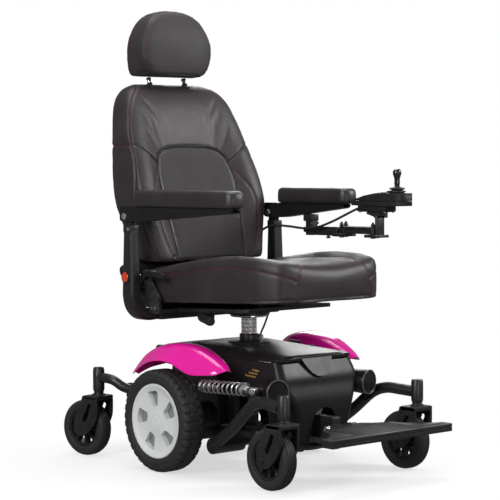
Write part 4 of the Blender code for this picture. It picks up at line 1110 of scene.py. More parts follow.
# ---------------------------------------------------------------- wheels
def ring_of(profile, centre, segments, relief=None):
    """A closed ring about an X axis through centre; relief(i, k) draws row i in at step k."""
    rings = []
    for k in range(segments):
        a = 2 * math.pi * k / segments
        ring = []
        for i, (radius, along) in enumerate(profile):
            reach = radius - (relief(i, k) if relief else 0)
            ring.append((centre[0] + along, centre[1] + reach * math.cos(a),
                         centre[2] + reach * math.sin(a)))
        rings.append(ring)
    return loft(rings, closed=True)


def spun(outline, turn):
    """A flat outline turned about the origin."""
    return [(a * math.cos(turn) - b * math.sin(turn), a * math.sin(turn) + b * math.cos(turn))
            for a, b in outline]


def drive_tyre():
    """Block-shouldered tyre with two running grooves and a moulded sidewall ring."""
    wall = [(111.4, 33), (114, 36), (120, 37.4), (122, 37.6), (123, 38.4), (125.5, 38.4),
            (126.5, 37.9), (133, 37.9), (138, 37.3), (142, 36.2), (145.8, 34.2), (149, 31),
            (151.2, 26.5), (152.2, 20), (152.4, 16.5), (149.2, 15.2), (149.2, 12.4), (152.5, 11.2)]
    profile = [(r, -x) for r, x in wall] + [(152.5, 0)] + list(reversed(wall))
    last = len(profile) - 1
    block = 7

    def relief(i, k):
        row = min(i, last - i)
        far = i > last / 2
        step = (k + (block // 2 if far else 0)) % block
        if 9 <= row <= 14 and step in (0, 1):
            return 4.5 if row > 9 else 2.0
        if row >= 17 and (k % block) == 4:
            return 2.2
        return 0
    return ring_of(profile, (DRIVE_TRACK, 0, DRIVE_RADIUS), block * 36, relief)


def drive_hub():
    """Pale dished wheel cover with five deep pockets."""
    face = [(0, 30.5), (15, 30.5), (17, 29.3), (19, 29.3), (21, 30), (30, 28.6), (60, 27), (88, 27.4),
            (96, 29.5), (102, 32.8), (106, 34.2), (109.5, 33.8), (111, 32), (111, -31), (104, -31),
            (104, 8), (0, 8)]
    cover = turned(face, (0, 0, 0), (1, 0, 0), 96)
    window = fillet([(-13, 43), (12, 43), (29, 86), (7, 91), (-20, 86)], 7, 4)
    cutters = [prism(spun(window, math.radians(72 * k - 9)), 10, 40, "x") for k in range(5)]
    return cut(cover, *cutters)


def hub_floor():
    """Grey discs at the bottom of the wheel cover's pockets, and the rim's inner side; their grey is painted
    shade for the shaded pocket floors.
    """
    return turned([(38, 10.1), (95, 10.1), (95, 11.2), (38, 11.2)], (0, 0, 0), (1, 0, 0), 64)


def shifted(bm, offset):
    bmesh.ops.translate(bm, vec=Vector(offset), verts=bm.verts)
    return bm


def drive_wheels():
    for label, side in SIDES:
        body = f"drive_wheel_{label}"
        piece(f"tyre_{label}", mirrored(drive_tyre(), side), "tyre_rubber", body,
              f"drive_tyre_{label}", flat_angle=40)
        centre = (DRIVE_TRACK, 0, DRIVE_RADIUS)
        cover = mirrored(shifted(drive_hub(), centre), side)
        piece(f"wheel_cover_{label}", cover, "wheel_cap", body, f"drive_hub_{label}",
              1.6, flat_angle=28)
        # painted shade: grey discs on the pocket floors stand for the shade in the pockets
        floor = mirrored(shifted(hub_floor(), centre), side)
        piece(f"recess_painted_shade_{label}", floor, "recess_painted_shade", body, ())


def gearmotors():
    """Finned motor barrel, gearbox with its cover screws, and the output flange."""
    fins = [(0, 112), (36, 112), (41, 117)]
    for k in range(9):
        fins += [(42, 119 + k * 7), (42, 123 + k * 7), (38.5, 123.6 + k * 7), (38.5, 125.4 + k * 7)]
    fins += [(42, 183), (42, 196), (46, 199), (47, 202), (47, 230), (44, 232), (30, 237),
             (13, 238), (13, 271), (0, 271.4)]
    for label, side in SIDES:
        barrel = turned(fins, (0, 0, DRIVE_RADIUS), (1, 0, 0), 56)
        saddle = box((112, -24, 84), (158, 24, 150), 2)
        screws = [rod((231, 38 * math.cos(a), DRIVE_RADIUS + 38 * math.sin(a)),
                      (234.5, 38 * math.cos(a), DRIVE_RADIUS + 38 * math.sin(a)), 3.4, 6)
                  for a in (math.pi * (k + 0.5) / 3 for k in range(6))]
        piece(f"motor_{label}", mirrored(merged(barrel, saddle, *screws), side), "motor_case",
              "base", f"gearmotor_{label}", 0.6)


def caster_fork():
    """Moulded fork: square crown with a raised boss, two slotted legs and axle bolts."""
    crown = box((-38, -26, 178), (38, 34, 192), 3)
    boss = turned([(0, 190), (22, 190), (20, 196), (16, 197), (14, 202.5), (0, 202.5)],
                  (0, 0, 0), (0, 0, 1), 36)
    foot = [(CASTER_TRAIL + 23 * math.cos(a), CASTER_RADIUS + 23 * math.sin(a))
            for a in (math.radians(-110 + 11 * k) for k in range(12))]
    front = smooth([Vector((-25, 150, 0)), Vector((-23, 130, 0)), Vector((-14, 108, 0)),
                    Vector((2, 88, 0)), Vector((22, 71, 0)), Vector((41, 64.6, 0))], 4)
    outline = [(-25, 190)] + [(p.x, p.y) for p in front[:-1]] + foot
    outline += [(CASTER_TRAIL + 22, 118), (46, 160), (36, 190)]
    slot = [(7 + 8 * math.cos(a), 158 + 8 * math.sin(a))
            for a in (math.radians(5 + 18 * k) for k in range(11))]
    slot += [(29 + 8 * math.cos(a), 116 + 8 * math.sin(a))
             for a in (math.radians(205 + 18 * k) for k in range(11))]
    legs = [cut(prism(outline, s * 30, s * 38, "x"), prism(slot, s * 26, s * 42, "x"))
            for s in (1, -1)]
    studs = []
    for s in (1, -1):
        studs.append(rod((s * 24.4, CASTER_TRAIL, CASTER_RADIUS), (s * 39, CASTER_TRAIL, CASTER_RADIUS),
                         10.5, 28, 1))
        studs.append(rod((s * 38, CASTER_TRAIL, CASTER_RADIUS), (s * 43, CASTER_TRAIL, CASTER_RADIUS),
                         8, 6, 0.8))
    return merged(crown, boss, *legs, *studs)


def caster_tyre():
    """Solid tyre with four running grooves."""
    half = CASTER_WIDTH / 2
    profile = [(58.4, -21), (60, -22.6), (64, -23.4), (66, -23.2), (70, -half), (76, -half + 0.4),
               (80, -half + 2)]
    for k in range(37):
        x = -18 + k
        groove = sum(2.4 * math.exp(-((x - c) / 1.3) ** 2) for c in (-13, -4.5, 4.5, 13))
        profile.append((CASTER_RADIUS - 5.5 * (abs(x) / 20) ** 4 - groove, x))
    profile += [(80, half - 2), (76, half - 0.4), (70, half), (66, 23.2), (64, 23.4), (60, 22.6),
                (58.4, 21)]
    return ring_of(profile, (0, CASTER_TRAIL, CASTER_RADIUS), 72)


def caster_hub():
    """Spoked hub: stepped rim, eight ribs and the bearing boss."""
    rim = ring_of([(58, -20), (58, 20), (55, 20.6), (51.5, 19), (50, 12), (50, -12), (51.5, -19),
                   (55, -20.6)], (0, 0, 0), 64)
    boss = turned([(0, 23.5), (15, 23.5), (18, 21), (18, -21), (15, -23.5), (0, -23.5)],
                  (0, 0, 0), (1, 0, 0), 36)
    ribs = []
    for k in range(8):
        turn = 2 * math.pi * k / 8
        ribs.append(prism(spun([(-3.4, 14), (3.4, 14), (5.2, 52), (-5.2, 52)], turn), -11, 11, "x"))
    parts = merged(rim, boss, *ribs)
    return shifted(parts, (0, CASTER_TRAIL, CASTER_RADIUS))


def casters():
    for end, stem_y in (("front", FRONT_STEM_Y), ("rear", REAR_STEM_Y)):
        for label, side in SIDES:
            name = f"{end}_{label}"
            angle = REAR_RIGHT_TURN if name == "rear_right" else 0.0
            turn = Matrix.Rotation(angle, 3, "Z")
            for kind, bm, surface, body, soften in (
                    ("fork", caster_fork(), "moulded_black", f"caster_swivel_{name}", 1.2),
                    ("tyre", caster_tyre(), "tyre_rubber", f"caster_wheel_{name}", 0),
                    ("hub", caster_hub(), "moulded_black", f"caster_wheel_{name}", 0.7)):
                bmesh.ops.rotate(bm, cent=(0, 0, 0), matrix=turn, verts=bm.verts)
                shifted(bm, (side * CASTER_TRACK, stem_y, 0))
                piece(f"{kind}_{name}", bm, surface, body, f"caster_{kind}_{name}", soften)


# ---------------------------------------------------------------- suspension
def stem_barrel(top):
    """Upright bearing barrel with a chamfered cap."""
    return turned([(0, 203), (15, 203), (17, 204.5), (17, 209), (18, 210), (18, top - 9),
                   (17, top - 7), (17, top - 3), (15, top), (0, top)], (0, 0, 0), (0, 0, 1), 44)


def front_arm():
    """Bent swing arm with its cross barrel, stem barrel, lever plate and bolts."""
    path = smooth([(230, -168, 96), (236, -262, 160), (244, -336, 219), (252, -388, 238),
                   (260, -440, 237), (CASTER_TRACK, -488, 234)], 8)
    plate = prism(fillet([(-308, 186), (-354, 206), (-350, 262), (-344, 278), (-330, 278),
                          (-324, 262)], 6, 4), 227.5, 237, "x")
    parts = [
        cross_rod(128, 244, ARM_PIVOT, 24, 48, 2),
        shifted(stem_barrel(271), (CASTER_TRACK, FRONT_STEM_Y, 0)),
        plate,
        cross_rod(216, 240, SHOCK_FRONT, 10, 28, 1),
        cross_rod(242, 247, ARM_PIVOT, 14, 32, 1),
        cross_rod(246, 250, ARM_PIVOT, 8, 6, 0.8),
    ]
    return merged(sweep(path, circle(17, 28)), *parts)


def coil(start, end, radius, wire, turns):
    """A helical spring with flattened end turns."""
    start, end = Vector(start), Vector(end)
    along = (end - start).normalized()
    across = Vector((1, 0, 0)) if abs(along.x) < 0.9 else Vector((0, 0, 1))
    across = (across - along * across.dot(along)).normalized()
    up = along.cross(across)
    path = []
    steps = 20
    count = turns * steps
    for k in range(count + 1):
        t = k / count
        ends = min(t, 1 - t) * turns
        share = t + 0.25 / turns * (1 - min(1, ends)) * (0.5 - t) * 2 * 0.5
        angle = 2 * math.pi * k / steps
        path.append(start + (end - start) * share
                    + radius * (across * math.cos(angle) + up * math.sin(angle)))
    return sweep(path, circle(wire, 8), side=along)


def shock(label, side):
    """Coil over a two-part guide: a cylinder on the arm and a rod on the frame."""
    rear = Vector((217, SHOCK_REAR.y - 29, SHOCK_REAR.z + 1))
    front = Vector((218, SHOCK_FRONT.y + 50, SHOCK_FRONT.z - 1.6))
    along = (front - rear).normalized()
    spring = mirrored(coil(rear + along * 3, front - along * 3, 17.2, 2.9, 9), side)
    obj = piece(f"spring_{label}", spring, "zinc", None, (), flat_angle=60)
    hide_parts(f"suspension_spring_{label}")
    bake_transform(obj)
    cup = turned([(0, 14), (8, 14), (8, 1), (12, 0), (19.5, 0), (20, -2), (20, -9), (17, -11), (17, -15),
                  (11, -16), (0, -16)], front, along, 40)
    guide = rod(front - along * 97, front - along * 12, 9.5, 32, 1)
    piece(f"shock_cup_{label}", mirrored(cup, side), "zinc", f"front_arm_{label}", (), 0.4)
    piece(f"shock_cylinder_{label}", mirrored(guide, side), "moulded_black", f"front_arm_{label}", (),
          0.4)
    seat_rear = turned([(0, -20), (7, -20), (7, -3), (12, -2), (19, -1), (19, 3), (0, 3)], rear, along,
                       40)
    shaft = rod(rear, rear + along * 70, 5.5, 24, 1)
    piece(f"shock_rod_{label}", mirrored(merged(seat_rear, shaft), side), "zinc", "base", (),
          0.4)
    pin = SHOCK_FRONT
    eye = turned([(0, -6), (10, -6), (12.5, -4), (12.5, 4), (10, 6), (0, 6)],
                 (222, pin.y, pin.z), (1, 0, 0), 36)
    piece(f"shock_eye_{label}", mirrored(eye, side), "moulded_black", f"front_arm_{label}", (),
          0.4)
    bolt = merged(rod((240, pin.y, pin.z), (247, pin.y, pin.z), 8.5, 6, 1),
                  rod((238.5, pin.y, pin.z), (240.5, pin.y, pin.z), 11.5, 32, 0.4))
    piece(f"shock_bolt_{label}", mirrored(bolt, side), "zinc", f"front_arm_{label}", ())
    nut = cross_rod(225, 232, SHOCK_REAR, 7.5, 6, 0.8)
    piece(f"shock_nut_{label}", mirrored(nut, side), "zinc", "base", ())


def suspension():
    for label, side in SIDES:
        piece(f"swing_arm_{label}", mirrored(front_arm(), side), "frame_black",
              f"front_arm_{label}", f"front_arm_{label}", 0.8)
        shock(label, side)
        path = smooth([(222, 242, 213), (242, 264, 224), (258, 292, 243), (268, 330, 248),
                       (268, 345, 247)], 8)
        parts = [
            shifted(stem_barrel(279), (CASTER_TRACK, REAR_STEM_Y, 0)),
            box((206.5, 222, 186), (224, 268, 234), 3, 3),
            rod((222, 257, 197), (229, 257, 197), 8, 6, 0.8),
            rod((222, 233, 225), (228, 233, 225), 7, 6, 0.8),
        ]
        arm = merged(sweep(path, circle(15, 28)), *parts)
        piece(f"outrigger_{label}", mirrored(arm, side), "frame_black", "base",
              f"rear_arm_{label}", 0.8)


# ---------------------------------------------------------------- bodywork
def fender():
    """Domed wheel cover whose outer edge turns out into a wide flared lip."""
    stations = [
        # angle round the axle, then (distance outboard, radius) of the inner edge, inner
        # shoulder, crown, outer shoulder, crease, flare and lip
        (45, (286, 182), (291, 187), (296, 190), (299, 190), (302, 188), (304, 186), (306, 183)),
        (56, (262, 180), (275, 194), (286, 200), (295, 197), (301, 190), (306, 184), (311, 179)),
        (66, (234, 176), (255, 200), (277, 209), (293, 205), (302, 194), (309, 184), (317, 177)),
        (80, (202, 176), (230, 209), (264, 219), (289, 215), (303, 202), (312, 188), (322, 179)),
        (94, (192, 182), (222, 219), (260, 229), (287, 225), (303, 211), (314, 195), (325, 184)),
        (108, (190, 194), (220, 234), (259, 244), (286, 240), (303, 224), (314, 206), (325, 192)),
        (120, (190, 208), (220, 249), (258, 260), (284, 255), (301, 236), (313, 215), (324, 198)),
        (130, (193, 224), (222, 263), (257, 274), (281, 270), (299, 251), (311, 228), (321, 206)),
        (137, (200, 242), (226, 276), (256, 286), (277, 282), (294, 265), (306, 243), (316, 222)),
        (143, (216, 268), (236, 290), (255, 297), (273, 294), (287, 282), (298, 268), (306, 253)),
        (147, (238, 290), (247, 299), (257, 304), (266, 303), (275, 298), (283, 291), (290, 283)),
    ]
    rows = [[Vector((angle, x, r)) for x, r in spots] for angle, *spots in stations]
    columns = [smooth([row[i] for row in rows], 6) for i in range(len(rows[0]))]
    rings = []
    for row in zip(*columns):
        outer = smooth([Vector((p.y, p.z, 0)) for p in row], 5)
        inner = [Vector((p.x, p.y - 3.6, 0)) for p in reversed(outer)]
        turn = math.radians(row[0].x)
        rings.append([(p.x, p.y * math.cos(turn), DRIVE_RADIUS + p.y * math.sin(turn))
                      for p in outer + inner])
    return loft(rings)


def fenders():
    for label, side in SIDES:
        piece(f"fender_shell_{label}", mirrored(fender(), side), "magenta_gloss", "base",
              f"fender_{label}", 1.0, flat_angle=50)
        bracket = merged(box((157, -68, 310), (201, -22, 315), 1),
                         box((196, -68, 310), (201, -22, 360), 1),
                         rod((180, -45, 314), (180, -45, 319), 6, 6, 0.6))
        piece(f"fender_bracket_{label}", mirrored(bracket, side), "frame_black", "base", ())


def hood_ring(z, half, front, rear, corner, tilt=0.0):
    """One level of the shroud's plan, a rounded rectangle whose rear is lifted by tilt."""
    ring = rounded(half, (rear - front) / 2, corner, 8, (0, (rear + front) / 2))
    return [(x, y, z + tilt * (y - front)) for x, y in ring]


def hood(levels):
    """A solid through shroud levels, rounded between them."""
    fine = []
    spans = smooth([Vector(level) for level in levels], 3)
    for z, half, front, rear, corner, tilt in spans:
        fine.append(hood_ring(z, half, front, rear, corner, tilt))
    return loft(fine)


def shroud_body():
    """Side skirts and a sloping front apron with a recessed arch at its foot."""
    skirt = hood([(252, 158, -372, 240, 26, 0.09), (272, 158.5, -370, 240, 26, 0.065),
                  (292, 158, -366, 238, 26, 0.04), (315, 155, -356, 233, 25, 0.02),
                  (338, 150, -343, 226, 24, 0)])
    skirt_hollow = hood([(240, 154, -368, 236, 24, 0.09), (290, 154, -362, 234, 24, 0.04),
                         (352, 146, -338, 222, 22, 0)])
    apron = hood([(98, 92, -374, -250, 20, 0), (140, 104, -384, -250, 24, 0),
                  (180, 116, -387, -250, 26, 0), (222, 131, -385, -250, 27, 0),
                  (262, 151, -373, -250, 26, 0), (300, 151, -362, -250, 24, 0)])
    apron_hollow = hood([(90, 87, -369, -220, 18, 0), (140, 99, -379, -220, 22, 0),
                         (215, 123, -381, -220, 24, 0), (262, 147, -368, -220, 24, 0),
                         (312, 147, -355, -220, 22, 0)])
    arch = prism([(52 * math.cos(a), 150 + 52 * math.sin(a))
                  for a in (math.pi * k / 24 for k in range(25))] + [(-58, 80), (58, 80)],
                 -400, -330, "y")
    return cut(joined(skirt, apron), skirt_hollow, apron_hollow, arch)


def shroud_pods():
    """Round-faced housings at the front corners, each with a pale rim whose grey is a painted highlight
    along its lip.
    """
    slant = math.radians(12)
    for label, side in SIDES:
        face = Vector((184, -386, 260))
        back = Vector((-math.sin(slant), math.cos(slant), 0.02)).normalized()
        pod = turned([(0, 1.5), (30, 1.5), (31, 0.4), (33, 0), (36, 2.5), (37, 7), (36.5, 20), (34, 60),
                      (22, 92), (0, 92)], face, back, 56)
        piece(f"shroud_pod_{label}", mirrored(pod, side), "satin_black", "base", (), 0.4)
        # painted highlight: the grey rim ring stands for the highlight along the pod's lip
        rim = turned([(34.2, 0.6), (35.6, -0.2), (36.9, 1.2), (36.9, 2.6), (35, 1.8)], face, back, 56)
        piece(f"pod_rim_{label}", mirrored(rim, side), "rim_painted_highlight", "base", ())


def lid_section(y, half, foot, top):
    """The lid across: a stepped lower edge, a rounded shoulder and a nearly flat top."""
    right = [(0, foot), (half - 3, foot), (half, foot + 1.5), (half, foot + 5), (half - 3, foot + 6.5),
             (half - 3.5, foot + 8), (half - 8, foot + 11), (half - 30, top - 3.2),
             (half - 48, top - 0.8), (half - 70, top), (0, top + 1)]
    return [(x, y, z) for x, z in right] + [(-x, y, z) for x, z in reversed(right[1:-1])]


def shroud_lid():
    """Lift-off lid with a raised oval round the pedestal and a lobe over the apron."""
    foot = 338 + GAP
    stations = [(-351, 126, 348.5), (-350, 134, 350), (-347, 141, 352), (-341, 146.5, 354),
                (-330, 150, 355), (-250, 153, 360),
                (-110, 154, 366), (0, 154, 371), (66, 154, 371), (80, 153.5, 366), (94, 152, 362),
                (215, 146, 352), (226, 141, 349), (229, 136, 346)]
    deck = loft([lid_section(y, half, foot, top) for y, half, top in stations])
    outline = [(60, 345), (54, 331), (45, 317), (33, 304), (18, 295), (0, 292)]
    outline = outline + [(-x, z) for x, z in reversed(outline[:-1])]
    tongue = loft([[(x, -345 + (z - 345) * 0.42 - GAP, z) for x, z in outline],
                   [(x, -352 + (z - 345) * 0.42, z) for x, z in outline]])
    island = loft([[(x * s, PEDESTAL_Y + y * s, z) for x, y in rounded(66, 54, 50, 10)]
                   for s, z in ((1.0, 358), (1.0, 369.5), (0.985, 371.2), (0.95, 372.2))])
    hole = rod((0, PEDESTAL_Y, 320), (0, PEDESTAL_Y, 400), 33, 40)
    return cut(joined(deck, tongue, island), hole)


def bodywork():
    piece("shroud_shell", shroud_body(), "satin_black", "base", "shroud_body", 1.6,
          flat_angle=30)
    shroud_pods()
    piece("shroud_cover", shroud_lid(), "satin_black", "base", "shroud_lid", 1.2,
          flat_angle=26)
    knobs = [turned([(0, 0), (7, 0), (7, 3), (5, 5), (0, 5.5)], (x, y, z), (0, 0, 1), 24)
             for x, y, z in ((-118, 40, 365), (118, 40, 365), (-118, -210, 357), (118, -210, 357))]
    piece("lid_studs", merged(*knobs), "moulded_black", "base", (), 0.5)
    for side, label in ((RIGHT, "right"), (LEFT, "left")):
        bars = []
        for k, (length, rise) in enumerate(((46, 0), (38, 9), (30, 18))):
            reach = 158.4 - 0.15 * rise
            bars.append(sweep([(reach, -262 - 6 * k, 292 + rise),
                               (reach - 0.2, -262 - 6 * k + length, 294 + rise)],
                              rounded(1.3, 2.6, 1.2, 2), side=(1, 0, 0)))
        piece(f"trim_bars_{label}", mirrored(merged(*bars), side), "gold_print", "base", ())


# ---------------------------------------------------------------- pedestal and footplate
def pedestal():
    socket = turned([(0, 108.5), (42, 108.5), (42, 117), (40, 118), (28, 126), (28, 372), (28.2, 374),
                     (28.6, 375), (29, 378), (29, 391), (28, 394), (25, 395.5), (24.4, 395.5),
                     (24.4, 160), (0, 160)], (0, PEDESTAL_Y, 0), (0, 0, 1), 56)
    clamp = box((25, PEDESTAL_Y - 10, 378), (40, PEDESTAL_Y + 10, 391), 2.5)
    piece("pedestal_sleeve", merged(socket, clamp), "frame_black", "base", "pedestal_socket",
          0.6)
    bolt = merged(rod((35, PEDESTAL_Y - 22, 384), (35, PEDESTAL_Y + 16, 384), 4.5, 20, 0.5),
                  rod((35, PEDESTAL_Y - 18, 384), (35, PEDESTAL_Y - 11, 384), 8.5, 6, 0.8),
                  rod((35, PEDESTAL_Y + 10, 384), (35, PEDESTAL_Y + 16, 384), 8, 6, 0.8))
    piece("pedestal_bolt", bolt, "chrome", "base", ())
    post = turned([(0, 166), (22.5, 166), (23.4, 168), (23.4, 443), (28, 446), (54, 447), (56, 448.5),
                   (56, 452.5), (55, SEAT_TURN_Z), (0, SEAT_TURN_Z)], (0, PEDESTAL_Y, 0), (0, 0, 1), 56)
    piece("pedestal_post", post, "chrome", "seat_lift", "seat_post", 0.5)
    # painted shade: the holes are not cut; gloss black discs set in the chrome stand for their dark insides
    holes = []
    for z in (403, 415, 427, 439):
        for k in range(12):
            a = 2 * math.pi * k / 12
            out = Vector((math.cos(a), math.sin(a), 0))
            foot = Vector((0, PEDESTAL_Y, z))
            holes.append(rod(foot + out * 22.4, foot + out * 23.65, 2.4, 12))
    piece("post_holes", merged(*holes), "gloss_black", "seat_lift", ())


def caster_clearance(reach, first, last, steps):
    """Points on an arc round the left front caster's stem, ahead of it and inboard."""
    angles = [math.radians(first + (last - first) * k / steps) for k in range(steps + 1)]
    return [(CASTER_TRACK - reach * math.cos(a), FRONT_STEM_Y - reach * math.sin(a))
            for a in angles]


def footplate():
    """Ribbed tray: stepped edge, hollow underside with cross ribs, hinge ears and bumper."""
    half, front = 246.0, -667.0
    corner = [(half, -631), (half, front + 14), (half - 1.5, front + 7), (half - 7, front + 1.5),
              (half - 14, front)]
    outline = [(62, -470), (80, -492)] + caster_clearance(128, 10, 78, 10) + corner
    outline = outline + [(-x, y) for x, y in reversed(outline)]
    middle = Vector((0, -575))

    def level(z, draw):
        return [(x - draw * (1 if x > 0 else -1), y - draw * (1 if y > middle.y else -1), z)
                for x, y in outline]
    plate = loft([level(z, draw) for z, draw in ((138, 1.5), (139.5, 0), (147.5, 0), (148.2, 1.6),
                                                  (150, 1.6), (150.7, 0), (158.5, 0), (160, 1.5))])
    recess = [(128, -530)] + caster_clearance(135, 14, 76, 8) + [(half - 7, -640), (half - 7, front + 12)]
    hollow = prism(recess + [(-x, y) for x, y in reversed(recess)], 130, 153)
    shell = cut(plate, hollow)
    hinge = Vector((0, -452, 148))
    ears = [box((s * 22, hinge.y - 24, 138), (s * 44, hinge.y + 11, 160), 3, 3) for s in (1, -1)]
    ribs = [box((x - 1.5, -656, 139.5), (x + 1.5, -536, 154), 0) for x in (-200, -150, -50, 0, 50, 150, 200)]
    treads = [box((-half + 26, y, 159), (half - 26, y + 5, 161.2), 0.7) for y in range(-652, -636, 9)]
    treads += [box((-120, y, 159), (120, y + 5, 161.2), 0.7) for y in range(-634, -520, 9)]
    bumper = box((-138, -590, 120), (-98, -550, 156), 4, 3)
    return merged(shell, *ears, *ribs, *treads, bumper)


def footrest():
    piece("footplate_tray", footplate(), "moulded_black", "footplate", "footplate",
          0.7)
    for label, side in SIDES:
        spring = coil((47 * side, -452, 148), (61 * side, -452, 148), 10, 1.7, 4)
        piece(f"footplate_spring_{label}", spring, "chrome", "base", (), flat_angle=60)


# ---------------------------------------------------------------- seat structure
def seat_details():
    """Dresses the pan with bolts, and adds the levers."""
    for label, side in SIDES:
        bolts = [rod((254, y, z), (258, y, z), 5.5, 6, 0.8) for y, z in ((84, 478), (100, 478), (128, 585))]
        piece(f"recliner_bolts_{label}", mirrored(merged(*bolts), side), "chrome", "seat", ())
        cap = cross_rod(253, 260, BACK_HINGE, 15, 36, 1.5)
        piece(f"recliner_cap_{label}", mirrored(cap, side), "moulded_black", "seat", (),
              0.5)
    shaft = rod((-146, -40, 456.5), (-204, -62, 458), 5, 20, 0.5)
    grip = sweep(smooth([(-196, -59, 458), (-206, -82, 457), (-220, -120, 453), (-232, -153, 450)], 4),
                 [circle(r, 24) for r in (9, 11, 13, 14, 14.2, 14.2, 14, 13.8, 14, 14.2, 14.3, 13, 9)])
    piece("swivel_grip", merged(shaft, grip), "moulded_black", "swivel_lever", "swivel_lever",
          0.5)
    hub = rod((-254.3, 127, 577), (-267, 127, 577), 12.5, 36, 1.2)
    path = smooth([(-262, 124, 577), (-263, 96, 581), (-263, 66, 581), (-262, 30, 574)], 4)
    sizes = [(4.2, 8 + 2 * math.sin(math.pi * k / (len(path) - 1))) for k in range(len(path))]
    paddle = sweep(path, [rounded(a, b, 4, 4) for a, b in sizes])
    piece("recline_paddle", merged(hub, paddle), "moulded_black", "recline_lever", "recline_lever",
          0.8)
    strap = sweep(smooth([(-267, 118, 589), (-268, 92, 592), (-268, 62, 590)], 4), rounded(1.2, 2.2, 1, 3))
    piece("recline_strap", strap, "chrome", "recline_lever", ())


def backrest_back():
    """Moulded rear board with stiffening ribs, lower crossbar and hinge arms."""
    spans = smooth([Vector((z, half * 0.86, rear)) for z, half, _, _, rear in BACK_LEVELS[1:10]], 4)
    spans = [Vector((586, 178, 258)), Vector((604, 181, 261))] + spans
    board = loft([[(x, y, z) for x, y in rounded(half, 6, 5, 4, (0, rear + GAP + 6))]
                  for z, half, rear in spans])
    ribs = []
    for share in (-0.55, 0, 0.55):
        path = [(half * share, rear + 12.5, z) for z, half, rear in spans[3:-3]]
        ribs.append(sweep(path, rounded(9, 3.5, 3, 3)))
    bar = box((-240, 240, 570), (240, 272, 602), 8, 4)
    outline = fillet([(134, 532), (140, 524), (160, 524), (200, 546), (258, 562), (270, 572),
                      (274, 586), (266, 598), (240, 600), (150, 560), (138, 552)], 8, 3)
    arms = [cut(prism(outline, s * 236, s * 244, "x"),
                cross_rod(s * 230, s * 250, BACK_HINGE, 7 + GAP, 32)) for s in (1, -1)]
    piece("backrest_board", merged(board, bar, *ribs, *arms), "moulded_black", "backrest",
          "backrest_shell", 1.2)


def headrest_mount():
    lean = Vector((0, math.sin(BACK_TILT), math.cos(BACK_TILT)))
    legs = []
    sockets = []
    for s in (1, -1):
        foot = HEADREST_FOOT + Vector((s * HEADREST_POST_X, 0, 0))
        legs.append(rod(foot - lean * 103, foot + lean * 3, 6, 28, 0.8))
        collar = foot - lean * 11
        sockets.append(turned([(6.4, -6), (9, -6), (9, -1), (8, 0.5), (6.4, 1)], collar, lean, 32))
    piece("headrest_legs", merged(*legs), "chrome", "headrest", "headrest_posts", 0.2)
    caps = [turned([(0, 1), (8, 1), (8, 4), (6.5, 7), (0, 7)],
                   HEADREST_FOOT + Vector((s * HEADREST_POST_X, 0, 0)), lean, 32) for s in (1, -1)]
    piece("headrest_caps", merged(*caps), "moulded_black", "headrest", (), 0.4)
    piece("headrest_sockets", merged(*sockets), "moulded_black", "backrest", (), 0.4)


# ---------------------------------------------------------------- armrests
def arm_pad(front, rear):
    """Pillow-edged foam pad with a crowned top."""
    levels = [(PAD_BOTTOM, 0.80, 10), (PAD_BOTTOM + 1.5, 0.90, 4.5), (PAD_BOTTOM + 5, 0.975, 1),
              (PAD_BOTTOM + 11, 1.0, 0), (PAD_BOTTOM + 25, 1.0, 0.2), (PAD_TOP - 11, 0.975, 1.5),
              (PAD_TOP - 5.5, 0.90, 5), (PAD_TOP - 2, 0.77, 11), (PAD_TOP - 0.5, 0.60, 18),
              (PAD_TOP, 0.3, 30)]
    rings = []
    for z, wide, inset in levels:
        plan = rounded(PAD_HALF * wide, (rear - front) / 2 - inset, PAD_HALF * wide * 0.86, 10,
                       (ARMREST_X, (rear + front) / 2))
        rings.append([(x, y, z) for x, y in plan])
    bm = loft(rings)
    bmesh.ops.subdivide_edges(bm, edges=[e for e in bm.edges if e.calc_length() > 40], cuts=24)
    for vert in bm.verts:
        dip = noise.noise(Vector(vert.co) * 0.018) * 0.8
        if vert.co.z > PAD_BOTTOM + 8:
            vert.co.z += dip
    return bm


def armrest_post():
    """Tapered J-shaped post with the hinge tongue on its top."""
    path = smooth([(202, ARMREST_Y, 456), (236, ARMREST_Y, 456), (262, ARMREST_Y, 462),
                   (282, ARMREST_Y, 482), (291, ARMREST_Y, 512), (ARMREST_X, ARMREST_Y, 545),
                   (ARMREST_X, ARMREST_Y, 709)], 5)
    sizes = smooth([Vector(p) for p in ((18, 17, 0), (24, 18, 0), (25, 19, 0), (25, 19.5, 0),
                                        (25, 19, 0), (24.5, 18.5, 0), (20, 16, 0))], 5)
    tube_part = sweep(path, [rounded(p.x, p.y, 8, 5) for p in sizes], side=(0, 1, 0))
    tongue = prism(fillet([(138, 700), (172, 700), (172, 750), (168, 762), (158, 766), (148, 762),
                           (142, 750), (138, 732)], 5, 3), 284, 300, "x")
    collar = box((ARMREST_X - 16, ARMREST_Y - 19, 704), (ARMREST_X + 16, ARMREST_Y + 21, 728), 4, 3)
    return merged(tube_part, tongue, collar)


def armrest_bar(front):
    """Tapering channel under the pad, with a slotted front end and a slot for the hinge tongue."""
    top = PAD_BOTTOM - GAP
    outline = fillet([(182, 742), (182, 778), (176, top), (front, top), (front, 775), (front + 8, 770.5),
                      (96, 738), (170, 738)], 5, 4)
    bar = prism(outline, ARMREST_X - 19, ARMREST_X + 19, "x")
    gap = box((ARMREST_X - 8.6, 130, 730), (ARMREST_X + 8.6, 190, 772))
    mouth = box((ARMREST_X - 11, front - 5, 773.5), (ARMREST_X + 11, front + 30, 781))
    return cut(bar, gap, mouth)


